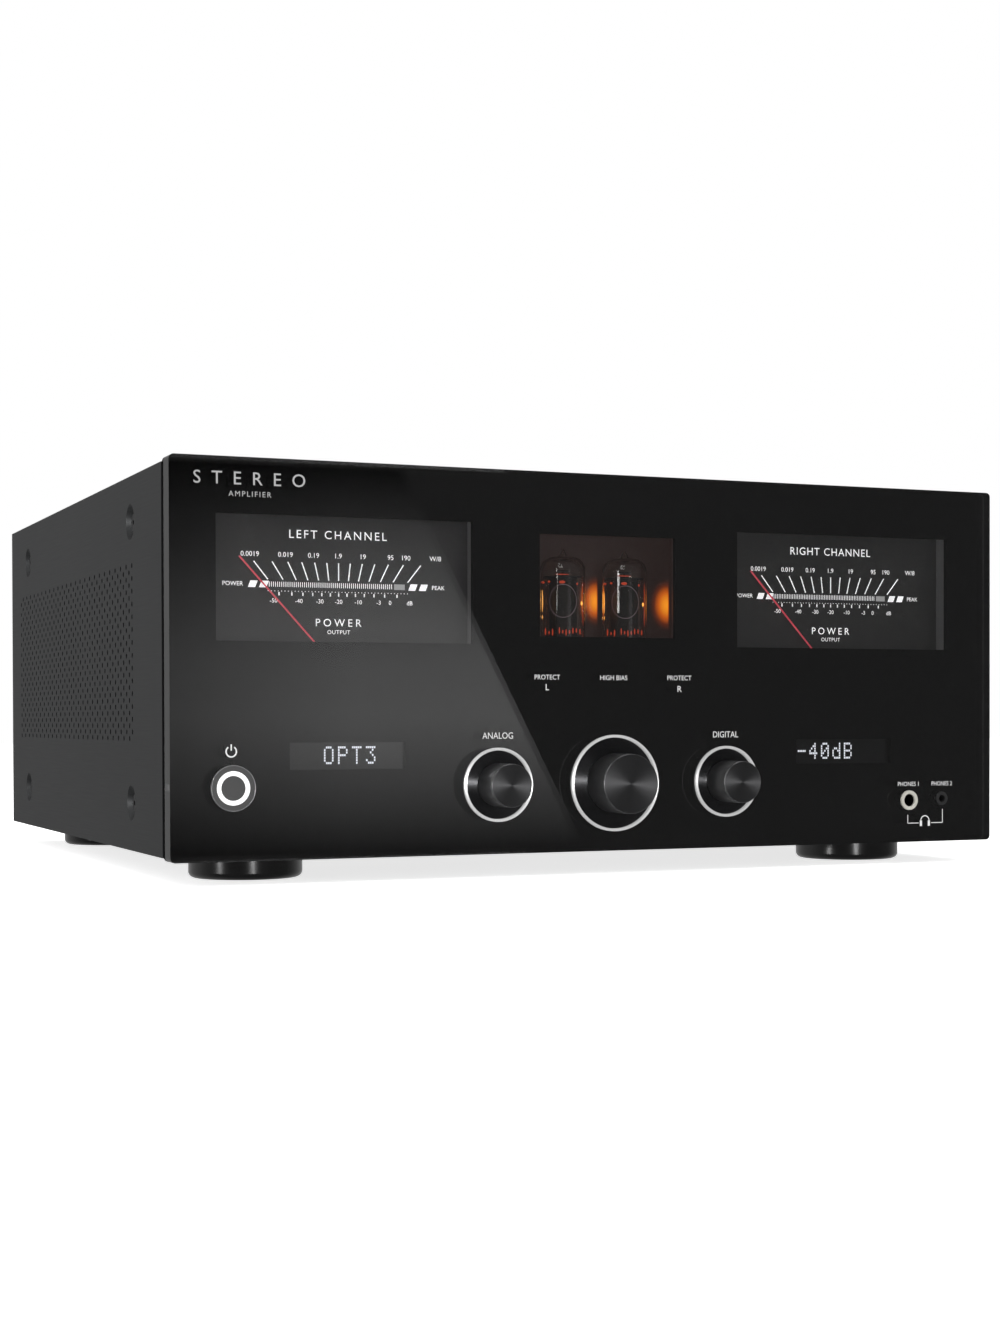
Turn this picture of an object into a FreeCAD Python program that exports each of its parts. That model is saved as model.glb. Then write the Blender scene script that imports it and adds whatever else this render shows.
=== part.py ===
import FreeCAD, Part

import os
import re

import Sketcher

# Integrated amplifier, millimetres. X is to the right seen from the front, Y to the back, Z up.
# The origin is on the floor under the middle of the whole object.
# "Depth" is measured backwards from the front face, "height" upwards from the front panel's lower edge.

dimensions = {
    # case
    "case_width": 430,
    "case_depth": 402,
    "panel_height": 178.5,
    "foot_height": 11,
    "panel_thickness": 9.6,
    "panel_corner": 2.3,
    "plate_thickness": 2.5,
    "bulkhead_thickness": 2,
    "bulkhead_return": 16,
    "groove_width": 5.9,
    "side_inset": 1,
    "side_thickness": 6,
    "side_bottom": 1.2,
    "side_top": 177.1,
    "tray_bottom": 1.5,
    "tray_thickness": 1.5,
    "tray_flange": 33,
    "rear_thickness": 2,
    "cover_thickness": 2,
    "rail_wall": 3,
    "rail_drop": 30,
    "rail_width": 18,
    "sheet_gap": 0.1,
    "fixed_gap": 0.05,
    "running_gap": 0.05,
    "press_gap": 0.02,
    "overcut": 1,
    # perforated field of a side panel
    "hole_radius": 1.25,
    "hole_pitch": 6,
    "hole_columns": 50,
    "hole_rows": 14,
    "field_front": 76.2,
    "field_bottom": 54,
    # screws
    "side_screw_radius": 2,
    "side_screw_head": 4,
    "side_screw_head_height": 2.4,
    "side_screw_length": 10,
    "side_screw_front": 79.5,
    "side_screw_rear": 347.5,
    "side_screw_low": 23.6,
    "side_screw_high": 155.6,
    "pocket_radius": 8.5,
    "pocket_floor_radius": 4.6,
    "pocket_depth": 4,
    "case_screw_radius": 1.45,
    "case_screw_head": 2.8,
    "case_screw_head_height": 1.6,
    "cover_screw_length": 6,
    "plate_screw_depth": 1.8,
    "plate_screw_offset": 200,
    "plate_screw_low": 8,
    "plate_screw_high": 168,
    "rear_screw_offset": 140,
    "rear_lip_depth": 14,
    "rear_lip_width": 320,
    "cover_screw_inset": 10,
    "cover_screw_end": 14,
    "hex_radius": 1.3,
    "hex_depth": 1.4,
    "return_gap": 2,
    # top cover slots
    "slot_length": 62,
    "slot_width": 3.2,
    "slot_pitch": 9,
    "slot_count": 24,
    "slot_offset": 160,
    "slot_front": 110,
    # windows
    "meter_offset": 131.2,
    "meter_window_width": 122.5,
    "meter_window_height": 56.7,
    "meter_window_bottom": 97.7,
    "tube_window_width": 71.8,
    "tube_window_height": 48.5,
    "tube_window_bottom": 101.6,
    "display_offset": 131,
    "display_width": 55.5,
    "display_height": 12.3,
    "display_bottom": 40,
    # meters
    "meter_inner_width": 127.4,
    "meter_bottom": 73,
    "meter_top": 157,
    "meter_depth": 19,
    "meter_wall": 1.5,
    "dial_depth": 22.4,
    "dial_thickness": 1,
    "pivot_height": 84.6,
    "pivot_radius": 0.75,
    "needle_length": 70.2,
    "needle_width": 0.7,
    "needle_thickness": 0.4,
    "needle_gap": 2,
    "needle_rest": 42.6,
    "needle_tail": 8,
    "needle_hub": 4.5,
    "hub_thickness": 1.2,
    "arbor_tail": 5,
    "bearing_depth": 5.5,
    "arbor_clearance": 0.5,
    "movement_radius": 10.5,
    # displays
    "module_margin": 2.5,
    "module_depth": 8,
    # tube bay
    "bay_inner_width": 96,
    "bay_bottom": 88,
    "bay_top": 156,
    "bay_depth": 38,
    "bay_wall": 1.5,
    "tube_offset": 16.5,
    "tube_depth": 26,
    "tube_radius": 10.8,
    "tube_glass": 0.8,
    "tube_floor": 1.2,
    "tube_shoulder": 6,
    "tube_bottom": 95,
    "tube_body_height": 45.6,
    "tube_tip_height": 4.2,
    "tube_tip_radius": 2.4,
    "tube_tip_end": 0.4,
    "socket_radius": 11,
    "anode_width": 11,
    "anode_depth": 8,
    "anode_bottom": 102.5,
    "anode_height": 28,
    "mica_radius": 9.4,
    "mica_thickness": 0.6,
    "support_radius": 0.5,
    "support_offset": 4.6,
    "getter_radius": 3.2,
    "getter_thickness": 0.5,
    "getter_lift": 2.5,
    # knobs
    "knob_height": 32.2,
    "knob_chamfer": 0.5,
    "knob_wall": 4,
    "knob_gap": 0.5,
    "dish_depth": 0.6,
    "ring_width": 1.2,
    "ring_proud": 1.3,
    "shaft_radius": 3,
    "bushing_wall": 0.5,
    "encoder_width": 13,
    "encoder_depth": 7,
    "encoder_relief": 0.5,
    "shaft_end": 19,
    "volume_radius": 14.1,
    "volume_reach": 17.9,
    "volume_ring": 22.9,
    "selector_offset": 60.15,
    "selector_radius": 10.1,
    "selector_reach": 16.9,
    "selector_ring": 17.2,
    # power button
    "power_offset": 186.7,
    "power_height": 32.4,
    "power_bezel_radius": 10.25,
    "power_bezel_proud": 0.9,
    "power_lens_radius": 7.55,
    "power_lens_proud": 0.7,
    "power_cap_radius": 5.5,
    "power_cap_proud": 0.5,
    "power_cap_length": 7.5,
    "power_stem_radius": 2,
    "power_stem_end": 16,
    "power_travel": 2,
    "power_switch_width": 14,
    "power_switch_depth": 11,
    # headphone jacks
    "large_jack_offset": 165.6,
    "large_jack_height": 21.2,
    "large_jack_ring": 4.9,
    "large_jack_bore": 3.2,
    "large_jack_length": 31,
    "large_jack_body": 15,
    "small_jack_offset": 185.1,
    "small_jack_height": 21.8,
    "small_jack_ring": 3.45,
    "small_jack_bore": 1.8,
    "small_jack_length": 15,
    "small_jack_body": 11,
    "jack_proud": 0.8,
    "jack_back": 2,
    # feet
    "foot_radius": 26.7,
    "foot_rounding": 3,
    "foot_offset": 165,
    "foot_front": 57.3,
    "foot_rear": 353,
    "foot_recess": 6,
    "foot_recess_radius": 5.5,
    "foot_screw_radius": 2,
    "foot_screw_head": 4,
    "foot_screw_head_height": 2.6,
    "foot_nut_radius": 4,
    "foot_nut_height": 4,
    # indicators
    "indicator_radius": 1.5,
    "indicator_height": 80,
    "indicator_offset": 34.9,
    "indicator_length": 7,
    # power supply
    "transformer_radius": 66,
    "transformer_hole": 16,
    "transformer_height": 62,
    "transformer_rounding": 12,
    "transformer_depth": 140,
    "clamp_radius": 32,
    "clamp_thickness": 3,
    "clamp_bolt_radius": 4,
    "clamp_nut_radius": 7,
    "clamp_nut_height": 6,
    "capacitor_radius": 17.5,
    "capacitor_height": 50,
    "capacitor_offset": 24,
    "capacitor_front": 245,
    "capacitor_rear": 295,
    # output stage
    "sink_inner": 158,
    "sink_base": 8,
    "sink_fin_length": 34,
    "sink_fin_thickness": 2.5,
    "sink_fin_pitch": 11.25,
    "sink_fin_count": 23,
    "sink_front": 95,
    "sink_height": 125,
    "transistor_width": 16,
    "transistor_height": 21,
    "transistor_thickness": 5,
    "transistor_centre": 60,
    "transistor_front": 130,
    "transistor_pitch": 58,
    # boards
    "board_thickness": 1.6,
    "main_board_width": 290,
    "main_board_front": 215,
    "main_board_rear": 372,
    "main_board_lift": 10,
    "board_post_inset": 6,
    "input_board_margin": 14,
    "post_radius": 3,
    "input_board_depth": 383,
    "input_board_low": 100,
    "input_board_high": 156,
    "control_board_width": 180,
    "control_board_low": 12,
    "control_board_high": 66,
    # rear sockets
    "phono_radius": 4.15,
    "phono_bore": 3.4,
    "phono_hole": 1.6,
    "phono_reach": 9.5,
    "phono_insert_reach": 8.5,
    "phono_hole_length": 12,
    "phono_flange_radius": 5.6,
    "phono_flange": 1.2,
    "phono_low": 114,
    "phono_high": 133,
    "phono_start": 170,
    "phono_pitch": 22,
    "coaxial_offset": 60,
    "optical_offset": 104,
    "optical_pitch": 22,
    "optical_size": 11,
    "optical_opening": 6.8,
    "optical_length": 9,
    "optical_reach": 0.6,
    "optical_height": 133,
    # mains inlet and switch
    "inlet_offset": 150,
    "inlet_height": 50,
    "inlet_flange_width": 64,
    "inlet_flange_height": 30,
    "inlet_flange": 3,
    "inlet_body_width": 58,
    "inlet_body_height": 25,
    "inlet_body_depth": 24,
    "cavity_width": 24.2,
    "cavity_height": 16.6,
    "cavity_depth": 18,
    "cavity_offset": 13,
    "blade_width": 2,
    "blade_height": 4,
    "blade_length": 12,
    "blade_pitch": 7,
    "blade_stagger": 2,
    "rocker_offset": 17,
    "rocker_width": 12,
    "rocker_height": 19,
    "rocker_gap": 0.8,
    "rocker_angle": 7,
    "rocker_rise": 1.4,
    "rocker_crest": 2.5,
    "rocker_edge": 0.6,
    "rocker_taper": 3.8,
    "rocker_pin_depth": 1.5,
    "rocker_pin_end": 1,
    "rocker_root": 5,
    "rocker_pin": 1,
    "rocker_recess": 10,
    # speaker terminals
    "post_reach": 18,
    "post_bore": 2.05,
    "post_bore_length": 16,
    "stud_radius": 4,
    "stud_tail": 10,
    "stud_nut_radius": 6.5,
    "stud_nut_height": 3,
    "terminal_height": 50,
    "terminal_pair_pitch": 19.05,
    "terminal_outer": 160,
    "terminal_inner": 70,
    "terminal_base_radius": 9,
    "terminal_base": 2.5,
    "terminal_neck": 5.5,
    "collar_radius": 6.6,
    "collar_thickness": 2,
    "cap_radius": 7.2,
    "cap_length": 11,
    "cap_chamfer": 0.8,
    "cap_gap": 0.1,
}

doc = FreeCAD.newDocument("integrated_amplifier")
sheet = doc.addObject("Spreadsheet::Sheet", "Sizes")
for row, (name, size) in enumerate(dimensions.items(), start=1):
    sheet.set(f"A{row}", name)
    sheet.set(f"B{row}", str(size))
    sheet.setAlias(f"B{row}", name)
doc.recompute()

nodes = []
turns = {
    "Z": FreeCAD.Rotation(),
    "-Z": FreeCAD.Rotation(FreeCAD.Vector(1, 0, 0), 180),
    "Y": FreeCAD.Rotation(FreeCAD.Vector(1, 0, 0), -90),
    "-Y": FreeCAD.Rotation(FreeCAD.Vector(1, 0, 0), 90),
    "X": FreeCAD.Rotation(FreeCAD.Vector(0, 1, 0), 90),
    "-X": FreeCAD.Rotation(FreeCAD.Vector(0, 1, 0), -90),
}


def bound(expression):
    def prefixed(word):
        return f"Sizes.{word[0]}" if word[0] in dimensions else word[0]

    return re.sub(r"[a-z_]+", prefixed, str(expression))


def number(expression):
    return float(sheet.evalExpression(bound(expression)))


def bind(piece, prop, expression):
    piece.setExpression(prop, bound(expression))


def place(piece, base, along="Z"):
    piece.Placement = FreeCAD.Placement(FreeCAD.Vector(), turns[along])
    for axis, expression in zip("xyz", base):
        bind(piece, f".Placement.Base.{axis}", expression)
    return piece


def keep(node, piece):
    piece.Label = node
    nodes.append(piece)
    return piece


# row-frame expressions

front = "-(case_depth + post_reach - volume_reach) / 2"
plate_back = "panel_thickness + plate_thickness"
bulkhead_back = f"{plate_back} + bulkhead_thickness"
bushing_radius = "(shaft_radius + bushing_wall)"
groove_back = f"{plate_back} + groove_width"
side_inner = "case_width / 2 - side_inset - side_thickness"
inner_width = f"2 * ({side_inner} - sheet_gap)"
tray_top = "tray_bottom + tray_thickness"
cover_bottom = "side_top - cover_thickness"
rear_front = "case_depth - rear_thickness"
board_top = f"{tray_top} + main_board_lift + board_thickness"


def at(across, depth, height):
    return across, f"{front} + ({depth})", f"foot_height + ({height})"


# basic solids

def block(low, lengths):
    piece = place(doc.addObject("Part::Box", "block"), low)
    for prop, expression in zip(("Length", "Width", "Height"), lengths):
        bind(piece, prop, expression)
    return piece


def rod(radius, length, base, along="Z"):
    piece = place(doc.addObject("Part::Cylinder", "rod"), base, along)
    bind(piece, "Radius", radius)
    bind(piece, "Height", length)
    return piece


def cone(near, far, length, base, along="Z"):
    piece = place(doc.addObject("Part::Cone", "cone"), base, along)
    bind(piece, "Radius1", near)
    bind(piece, "Radius2", far)
    bind(piece, "Height", length)
    return piece


def hexagon(circumradius, height, base, along="Z"):
    piece = place(doc.addObject("Part::Prism", "hexagon"), base, along)
    piece.Polygon = 6
    bind(piece, "Circumradius", circumradius)
    bind(piece, "Height", height)
    return piece


def join(*pieces):
    fused = doc.addObject("Part::MultiFuse", "join")
    fused.Shapes = list(pieces)
    return fused


def group(*pieces):
    compound = doc.addObject("Part::Compound", "group")
    compound.Links = list(pieces)
    return compound


def cut(base, *tools):
    result = doc.addObject("Part::Cut", "cut")
    result.Base = base
    result.Tool = tools[0] if len(tools) == 1 else group(*tools)
    return result


def pipe(outer, inner, length, base, along="Z"):
    return cut(rod(outer, length, base, along), rod(inner, length, base, along))


# sketched solids

def sketch_on(body, role, name):
    sketch = body.newObject("Sketcher::SketchObject", name)
    plane = next(item for item in body.Origin.OriginFeatures if item.Role == role)
    sketch.AttachmentSupport = [(plane, "")]
    sketch.MapMode = "FlatFace"
    return sketch


def constrain(sketch, kind, index, point, expression):
    count = sketch.addConstraint(Sketcher.Constraint(kind, -1, 1, index, point, number(expression)))
    bind(sketch, f"Constraints[{count}]", expression)


def draw_outline(sketch, corners):
    first = sketch.GeometryCount
    spots = [FreeCAD.Vector(number(a), number(b), 0) for a, b in corners]
    for here, there in zip(spots, spots[1:] + spots[:1]):
        sketch.addGeometry(Part.LineSegment(here, there), False)
    for step in range(len(spots)):
        line, following = first + step, first + (step + 1) % len(spots)
        sketch.addConstraint(Sketcher.Constraint("Coincident", line, 2, following, 1))
    for step, (across, up) in enumerate(corners):
        constrain(sketch, "DistanceX", first + step, 1, across)
        constrain(sketch, "DistanceY", first + step, 1, up)


def draw_rectangle(sketch, low_across, low_up, high_across, high_up):
    draw_outline(sketch, [
        (low_across, low_up), (high_across, low_up), (high_across, high_up), (low_across, high_up),
    ])


def draw_circle(sketch, across, up, radius):
    centre = FreeCAD.Vector(number(across), number(up), 0)
    circle = Part.Circle(centre, FreeCAD.Vector(0, 0, 1), number(radius))
    index = sketch.addGeometry(circle, False)
    constrain(sketch, "DistanceX", index, 3, across)
    constrain(sketch, "DistanceY", index, 3, up)
    count = sketch.addConstraint(Sketcher.Constraint("Radius", index, number(radius)))
    bind(sketch, f"Constraints[{count}]", radius)


def pad(body, sketch, length, reverse=False):
    feature = body.newObject("PartDesign::Pad", "pad")
    feature.Profile = sketch
    bind(feature, "Length", length)
    feature.Reversed = reverse
    return feature


def plate(role, thickness, base, rectangles, circles=()):
    # XZ_Plane faces the front, so its pad is reversed to run backwards
    body = doc.addObject("PartDesign::Body", "plate")
    sketch = sketch_on(body, role, "outline")
    for rectangle in rectangles:
        draw_rectangle(sketch, *rectangle)
    for circle in circles:
        draw_circle(sketch, *circle)
    pad(body, sketch, thickness, reverse=role == "XZ_Plane")
    return place(body, base)


def lathe(profile, base, along="Z"):
    body = doc.addObject("PartDesign::Body", "lathe")
    sketch = sketch_on(body, "XZ_Plane", "profile")
    draw_outline(sketch, profile)
    turning = body.newObject("PartDesign::Revolution", "turning")
    turning.Profile = sketch
    turning.ReferenceAxis = (sketch, ["V_Axis"])
    turning.Angle = 360
    return place(body, base, along)


def edge_names(body, wanted):
    return [f"Edge{n}" for n, edge in enumerate(body.Tip.Shape.Edges, start=1) if wanted(edge)]


def fillet(body, radius, wanted):
    doc.recompute()
    tip, names = body.Tip, edge_names(body, wanted)
    feature = body.newObject("PartDesign::Fillet", "rounding")
    feature.Base = (tip, names)
    bind(feature, "Radius", radius)
    return body


def circle_at(radius, level):
    # picks a full-circle edge of a turned body by its radius and local level
    def wanted(edge):
        curve = edge.Curve
        if not isinstance(curve, Part.Circle):
            return False
        return abs(curve.Radius - number(radius)) < 1e-4 and abs(curve.Center.z - number(level)) < 1e-4

    return wanted


# pieces

def panel_corner(edge):
    # the four outer edges that run from front to back
    start = edge.valueAt(edge.FirstParameter)
    runs_back = abs(edge.tangentAt(edge.FirstParameter).y) > 0.99
    at_side = abs(abs(start.x) - number("case_width / 2")) < 1e-3
    return isinstance(edge.Curve, Part.Line) and runs_back and at_side


knobs = {
    "volume": ("0", "volume_radius", "volume_reach", "volume_ring"),
    "analog": ("-selector_offset", "selector_radius", "selector_reach", "selector_ring"),
    "digital": ("selector_offset", "selector_radius", "selector_reach", "selector_ring"),
}
windows = [
    (f"{side} * {offset}", width, low, height)
    for offset, width, low, height in (
        ("meter_offset", "meter_window_width", "meter_window_bottom", "meter_window_height"),
        ("display_offset", "display_width", "display_bottom", "display_height"),
    )
    for side in (-1, 1)
] + [("0", "tube_window_width", "tube_window_bottom", "tube_window_height")]


def window_rectangle(centre, width, low, height):
    return f"{centre} - {width} / 2", low, f"{centre} + {width} / 2", f"{low} + {height}"


def make_front_panel():
    holes = [(centre, "knob_height", f"{ring} + fixed_gap") for centre, _, _, ring in knobs.values()]
    holes.append(("-power_offset", "power_height", "power_bezel_radius + fixed_gap"))
    holes.append(("large_jack_offset", "large_jack_height", "large_jack_ring + fixed_gap"))
    holes.append(("small_jack_offset", "small_jack_height", "small_jack_ring + fixed_gap"))
    outline = ("-case_width / 2", "0", "case_width / 2", "panel_height")
    panel = plate("XZ_Plane", "panel_thickness", at("0", "0", "0"), [outline], holes)
    keep("front_panel", fillet(panel, "panel_corner", panel_corner))


def plate_screw_places():
    for across in ("-plate_screw_offset", "0", "plate_screw_offset"):
        for height in ("plate_screw_low", "plate_screw_high"):
            yield across, height


def passages(radius_gap):
    places = [(centre, "knob_height", f"{bushing_radius} + {radius_gap}") for centre, _, _, _ in knobs.values()]
    places.append(("-power_offset", "power_height", f"power_stem_radius + 4 * {radius_gap}"))
    places.append(("large_jack_offset", "large_jack_height", f"large_jack_ring + {radius_gap}"))
    places.append(("small_jack_offset", "small_jack_height", f"small_jack_ring + {radius_gap}"))
    return places


def make_backing_plate():
    outline = ("-case_width / 2", "0", "case_width / 2", "panel_height")
    openings = [window_rectangle(*window) for window in windows]
    body = plate("XZ_Plane", "plate_thickness", at("0", "panel_thickness", "0"),
                 [outline] + openings, passages("sheet_gap"))
    fillet(body, "panel_corner", panel_corner)
    pilots = [
        rod("case_screw_radius + fixed_gap", "plate_screw_depth + fixed_gap",
            at(across, plate_back, height), "-Y")
        for across, height in plate_screw_places()
    ]
    keep("backing_plate", cut(body, *pilots))


def make_bulkhead():
    sheet_edge = f"({inner_width}) / 2"
    sheet_top = f"{cover_bottom} + cover_thickness - 2 * sheet_gap"
    outline = (f"-{sheet_edge}", "tray_bottom", sheet_edge, sheet_top)
    meter_half = "(meter_inner_width / 2 + meter_wall + sheet_gap)"
    module_half = "(display_width / 2 + module_margin + sheet_gap)"
    bay_half = "(bay_inner_width / 2 + bay_wall + sheet_gap)"
    bay_edge = "bay_wall + sheet_gap"
    openings = [(f"-{bay_half}", f"bay_bottom - ({bay_edge})", bay_half, f"bay_top + {bay_edge}")]
    for side in (-1, 1):
        openings.append((
            f"{side} * meter_offset - {meter_half}", "meter_bottom - meter_wall - sheet_gap",
            f"{side} * meter_offset + {meter_half}", "meter_top + meter_wall + sheet_gap",
        ))
        openings.append((
            f"{side} * display_offset - {module_half}", "display_bottom - module_margin - sheet_gap",
            f"{side} * display_offset + {module_half}",
            "display_bottom + display_height + module_margin + sheet_gap",
        ))
    holes = passages("sheet_gap")
    holes += [(x, "indicator_height", "indicator_radius + sheet_gap")
              for x in ("-indicator_offset", "0", "indicator_offset")]
    holes += [(x, height, "case_screw_radius + sheet_gap") for x, height in plate_screw_places()]
    web = plate("XZ_Plane", "bulkhead_thickness", at("0", plate_back, "0"), [outline] + openings, holes)
    low = f"{tray_top} + tray_flange + return_gap"
    high = f"{cover_bottom} - rail_drop - return_gap"
    returns = [
        block(at(x, bulkhead_back, low), ("bulkhead_thickness", "bulkhead_return", f"{high} - ({low})"))
        for x in (f"-{sheet_edge}", f"{sheet_edge} - bulkhead_thickness")
    ]
    keep("front_bulkhead", join(web, *returns))


def foot_places():
    for side in (-1, 1):
        for depth in ("foot_front", "foot_rear"):
            yield f"{side} * foot_offset", depth


def rear_screw_places():
    for across in ("-rear_screw_offset", "0", "rear_screw_offset"):
        yield across, f"{rear_front} - rear_lip_depth / 2"


def board_post_places():
    for side in (-1, 1):
        for depth in ("main_board_front + board_post_inset", "main_board_rear - board_post_inset"):
            yield f"{side} * (main_board_width / 2 - board_post_inset)", depth


def side_screw_places(height):
    for side in (-1, 1):
        for depth in ("side_screw_front", "side_screw_rear"):
            yield side, depth, height


def make_tray():
    length = f"{rear_front} - ({bulkhead_back})"
    pieces = [block(at(f"-({inner_width}) / 2", bulkhead_back, "tray_bottom"),
                    (inner_width, length, "tray_thickness"))]
    for x in (f"-({inner_width}) / 2", f"({inner_width}) / 2 - tray_thickness"):
        pieces.append(block(at(x, bulkhead_back, tray_top), ("tray_thickness", length, "tray_flange")))
    for x, depth in foot_places():
        pieces.append(rod("foot_nut_radius", "foot_nut_height", at(x, depth, tray_top)))
    for x, depth in board_post_places():
        pieces.append(rod("post_radius", "main_board_lift", at(x, depth, tray_top)))
    holes = [
        rod("foot_screw_radius + fixed_gap", "foot_nut_height + tray_thickness + 2 * overcut",
            at(x, depth, "tray_bottom - overcut"))
        for x, depth in foot_places()
    ]
    holes += [rod("case_screw_radius + fixed_gap", "tray_thickness + 2 * overcut",
                  at(x, depth, "tray_bottom - overcut"))
              for x, depth in rear_screw_places()]
    holes.append(rod("clamp_bolt_radius + fixed_gap", "tray_thickness + 2 * overcut",
                     at("0", "transformer_depth", "tray_bottom - overcut")))
    for side, depth, height in side_screw_places("side_screw_low"):
        holes.append(rod("side_screw_radius + fixed_gap", "tray_thickness + 2 * overcut",
                         at(f"{side} * ({side_inner} + overcut)", depth, height), "-X" if side > 0 else "X"))
    keep("chassis_tray", cut(join(*pieces), *holes))


def terminal_places():
    # two pairs of speaker terminals, each pair at the standard double-plug spacing
    for centre in ("terminal_inner", "terminal_outer"):
        for step in (-1, 1):
            yield f"-{centre} + {step} * terminal_pair_pitch / 2"


def phono_places():
    for column in range(4):
        for height in ("phono_high", "phono_low"):
            yield f"-phono_start + {column} * phono_pitch", height
    for height in ("phono_high", "phono_low"):
        yield "coaxial_offset", height


def optical_places():
    for column in range(3):
        yield f"optical_offset + {column} * optical_pitch"


def make_rear_panel():
    edge = f"({inner_width}) / 2"
    rectangles = [(f"-{edge}", "tray_bottom", edge, f"{cover_bottom} - sheet_gap")]
    rectangles.append((
        "inlet_offset - inlet_body_width / 2 - sheet_gap", "inlet_height - inlet_body_height / 2 - sheet_gap",
        "inlet_offset + inlet_body_width / 2 + sheet_gap", "inlet_height + inlet_body_height / 2 + sheet_gap",
    ))
    half = "(optical_size / 2 + sheet_gap)"
    for x in optical_places():
        rectangles.append((f"{x} - {half}", f"optical_height - {half}",
                           f"{x} + {half}", f"optical_height + {half}"))
    circles = [(x, "terminal_height", "terminal_neck + sheet_gap") for x in terminal_places()]
    circles += [(x, height, "phono_radius + sheet_gap") for x, height in phono_places()]
    sheet_metal = plate("XZ_Plane", "rear_thickness", at("0", rear_front, "0"), rectangles, circles)
    lip = block(at("-rear_lip_width / 2", f"{rear_front} - rear_lip_depth", tray_top),
                ("rear_lip_width", "rear_lip_depth", "rear_thickness"))
    holes = [rod("case_screw_radius + fixed_gap", "rear_thickness + 2 * overcut",
                 at(x, depth, f"{tray_top} - overcut"))
             for x, depth in rear_screw_places()]
    keep("rear_panel", cut(join(sheet_metal, lip), *holes))


def make_top_cover():
    edge = f"(({inner_width}) / 2)"
    body = plate("XY_Plane", "cover_thickness", at("0", "0", cover_bottom),
                 [(f"-{edge}", groove_back, edge, "case_depth")],
                 [(x, depth, "case_screw_radius + sheet_gap") for x, depth in cover_screw_places()])
    sketch = sketch_on(body, "XY_Plane", "slots")
    for side in (-1, 1):
        draw_rectangle(sketch, f"{side} * slot_offset - slot_length / 2", "slot_front",
                       f"{side} * slot_offset + slot_length / 2", "slot_front + slot_width")
    pocket = body.newObject("PartDesign::Pocket", "slot")
    pocket.Profile = sketch
    pocket.Type = "ThroughAll"
    pocket.Reversed = True
    pattern = body.newObject("PartDesign::LinearPattern", "slots_pattern")
    pattern.Originals = [pocket]
    pattern.Direction = (sketch, ["V_Axis"])
    bind(pattern, "Length", "slot_pitch * (slot_count - 1)")
    bind(pattern, "Occurrences", "slot_count")
    body.Tip = pattern
    sinks = [
        cone("case_screw_radius + sheet_gap", "case_screw_head + sheet_gap", "case_screw_head_height",
             at(x, depth, f"side_top - case_screw_head_height"))
        for x, depth in cover_screw_places()
    ]
    keep("top_cover", cut(body, *sinks))


def cover_screw_places():
    for side in (-1, 1):
        for depth in (f"{groove_back} + cover_screw_end", "case_depth / 2", "case_depth - cover_screw_end"):
            yield f"{side} * ({side_inner} - cover_screw_inset)", depth


def perforated_sheet():
    # local X is the outward normal, with the inner face at 0
    pitch, half, thickness = number("hole_pitch"), number("hole_pitch / 2"), number("side_thickness")
    near, far = number(groove_back), number("case_depth")
    low, high = number("side_bottom"), number("side_top")
    corners = [(near, low), (far, low), (far, high), (near, high), (near, low)]
    outline = Part.makePolygon([FreeCAD.Vector(0, depth, height) for depth, height in corners])
    screws = [(number(depth), number(height)) for depth in ("side_screw_front", "side_screw_rear")
              for height in ("side_screw_low", "side_screw_high")]
    holes = [(depth, height, number("side_screw_radius + sheet_gap")) for depth, height in screws]
    for column in range(int(number("hole_columns"))):
        raised = half if column % 2 == 0 else 0
        for row in range(int(number("hole_rows"))):
            depth = number("field_front") + column * pitch
            holes.append((depth, number("field_bottom") + row * pitch + raised, number("hole_radius")))
    inwards = FreeCAD.Vector(-1, 0, 0)
    rims = [Part.Wire(Part.Circle(FreeCAD.Vector(0, depth, height), inwards, radius).toShape())
            for depth, height, radius in holes]
    pockets = [
        Part.makeCone(number("pocket_radius"), number("pocket_floor_radius"), number("pocket_depth"),
                      FreeCAD.Vector(thickness, depth, height), inwards)
        for depth, height in screws
    ]
    face = Part.Face([outline] + rims)
    return face.extrude(FreeCAD.Vector(thickness, 0, 0)).cut(Part.makeCompound(pockets))


def make_side_panels():
    # seven hundred holes are more than a sketch should solve, so the shape is made directly and mirrored
    right = perforated_sheet()
    left = right.mirror(FreeCAD.Vector(0, 0, 0), FreeCAD.Vector(1, 0, 0))
    for side, name, shape in ((-1, "left_side_panel", left), (1, "right_side_panel", right)):
        panel = doc.addObject("Part::Feature", name)
        panel.Shape = shape
        keep(name, place(panel, at(f"{side} * ({side_inner})", "0", "0")))


def make_rails():
    rails = []
    length = f"{rear_front} - ({bulkhead_back})"
    for side in (-1, 1):
        wall = f"({inner_width}) / 2"
        upright = f"-{wall}" if side < 0 else f"{wall} - rail_wall"
        shelf = f"-{wall}" if side < 0 else f"{wall} - rail_width"
        section = join(
            block(at(upright, bulkhead_back, f"{cover_bottom} - rail_drop"),
                  ("rail_wall", length, "rail_drop")),
            block(at(shelf, bulkhead_back, f"{cover_bottom} - rail_wall"),
                  ("rail_width", length, "rail_wall")),
        )
        holes = [rod("case_screw_radius + fixed_gap", "rail_wall + 2 * overcut",
                     at(x, depth, f"{cover_bottom} - rail_wall - overcut"))
                 for x, depth in cover_screw_places() if (side < 0) == x.startswith("-")]
        holes += [
            rod("side_screw_radius + fixed_gap", "rail_wall + 2 * overcut",
                at(f"{side} * ({side_inner} + overcut)", depth, height), "-X" if side > 0 else "X")
            for edge, depth, height in side_screw_places("side_screw_high") if edge == side
        ]
        rails.append(cut(section, *holes))
    keep("upper_rails", group(*rails))


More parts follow.
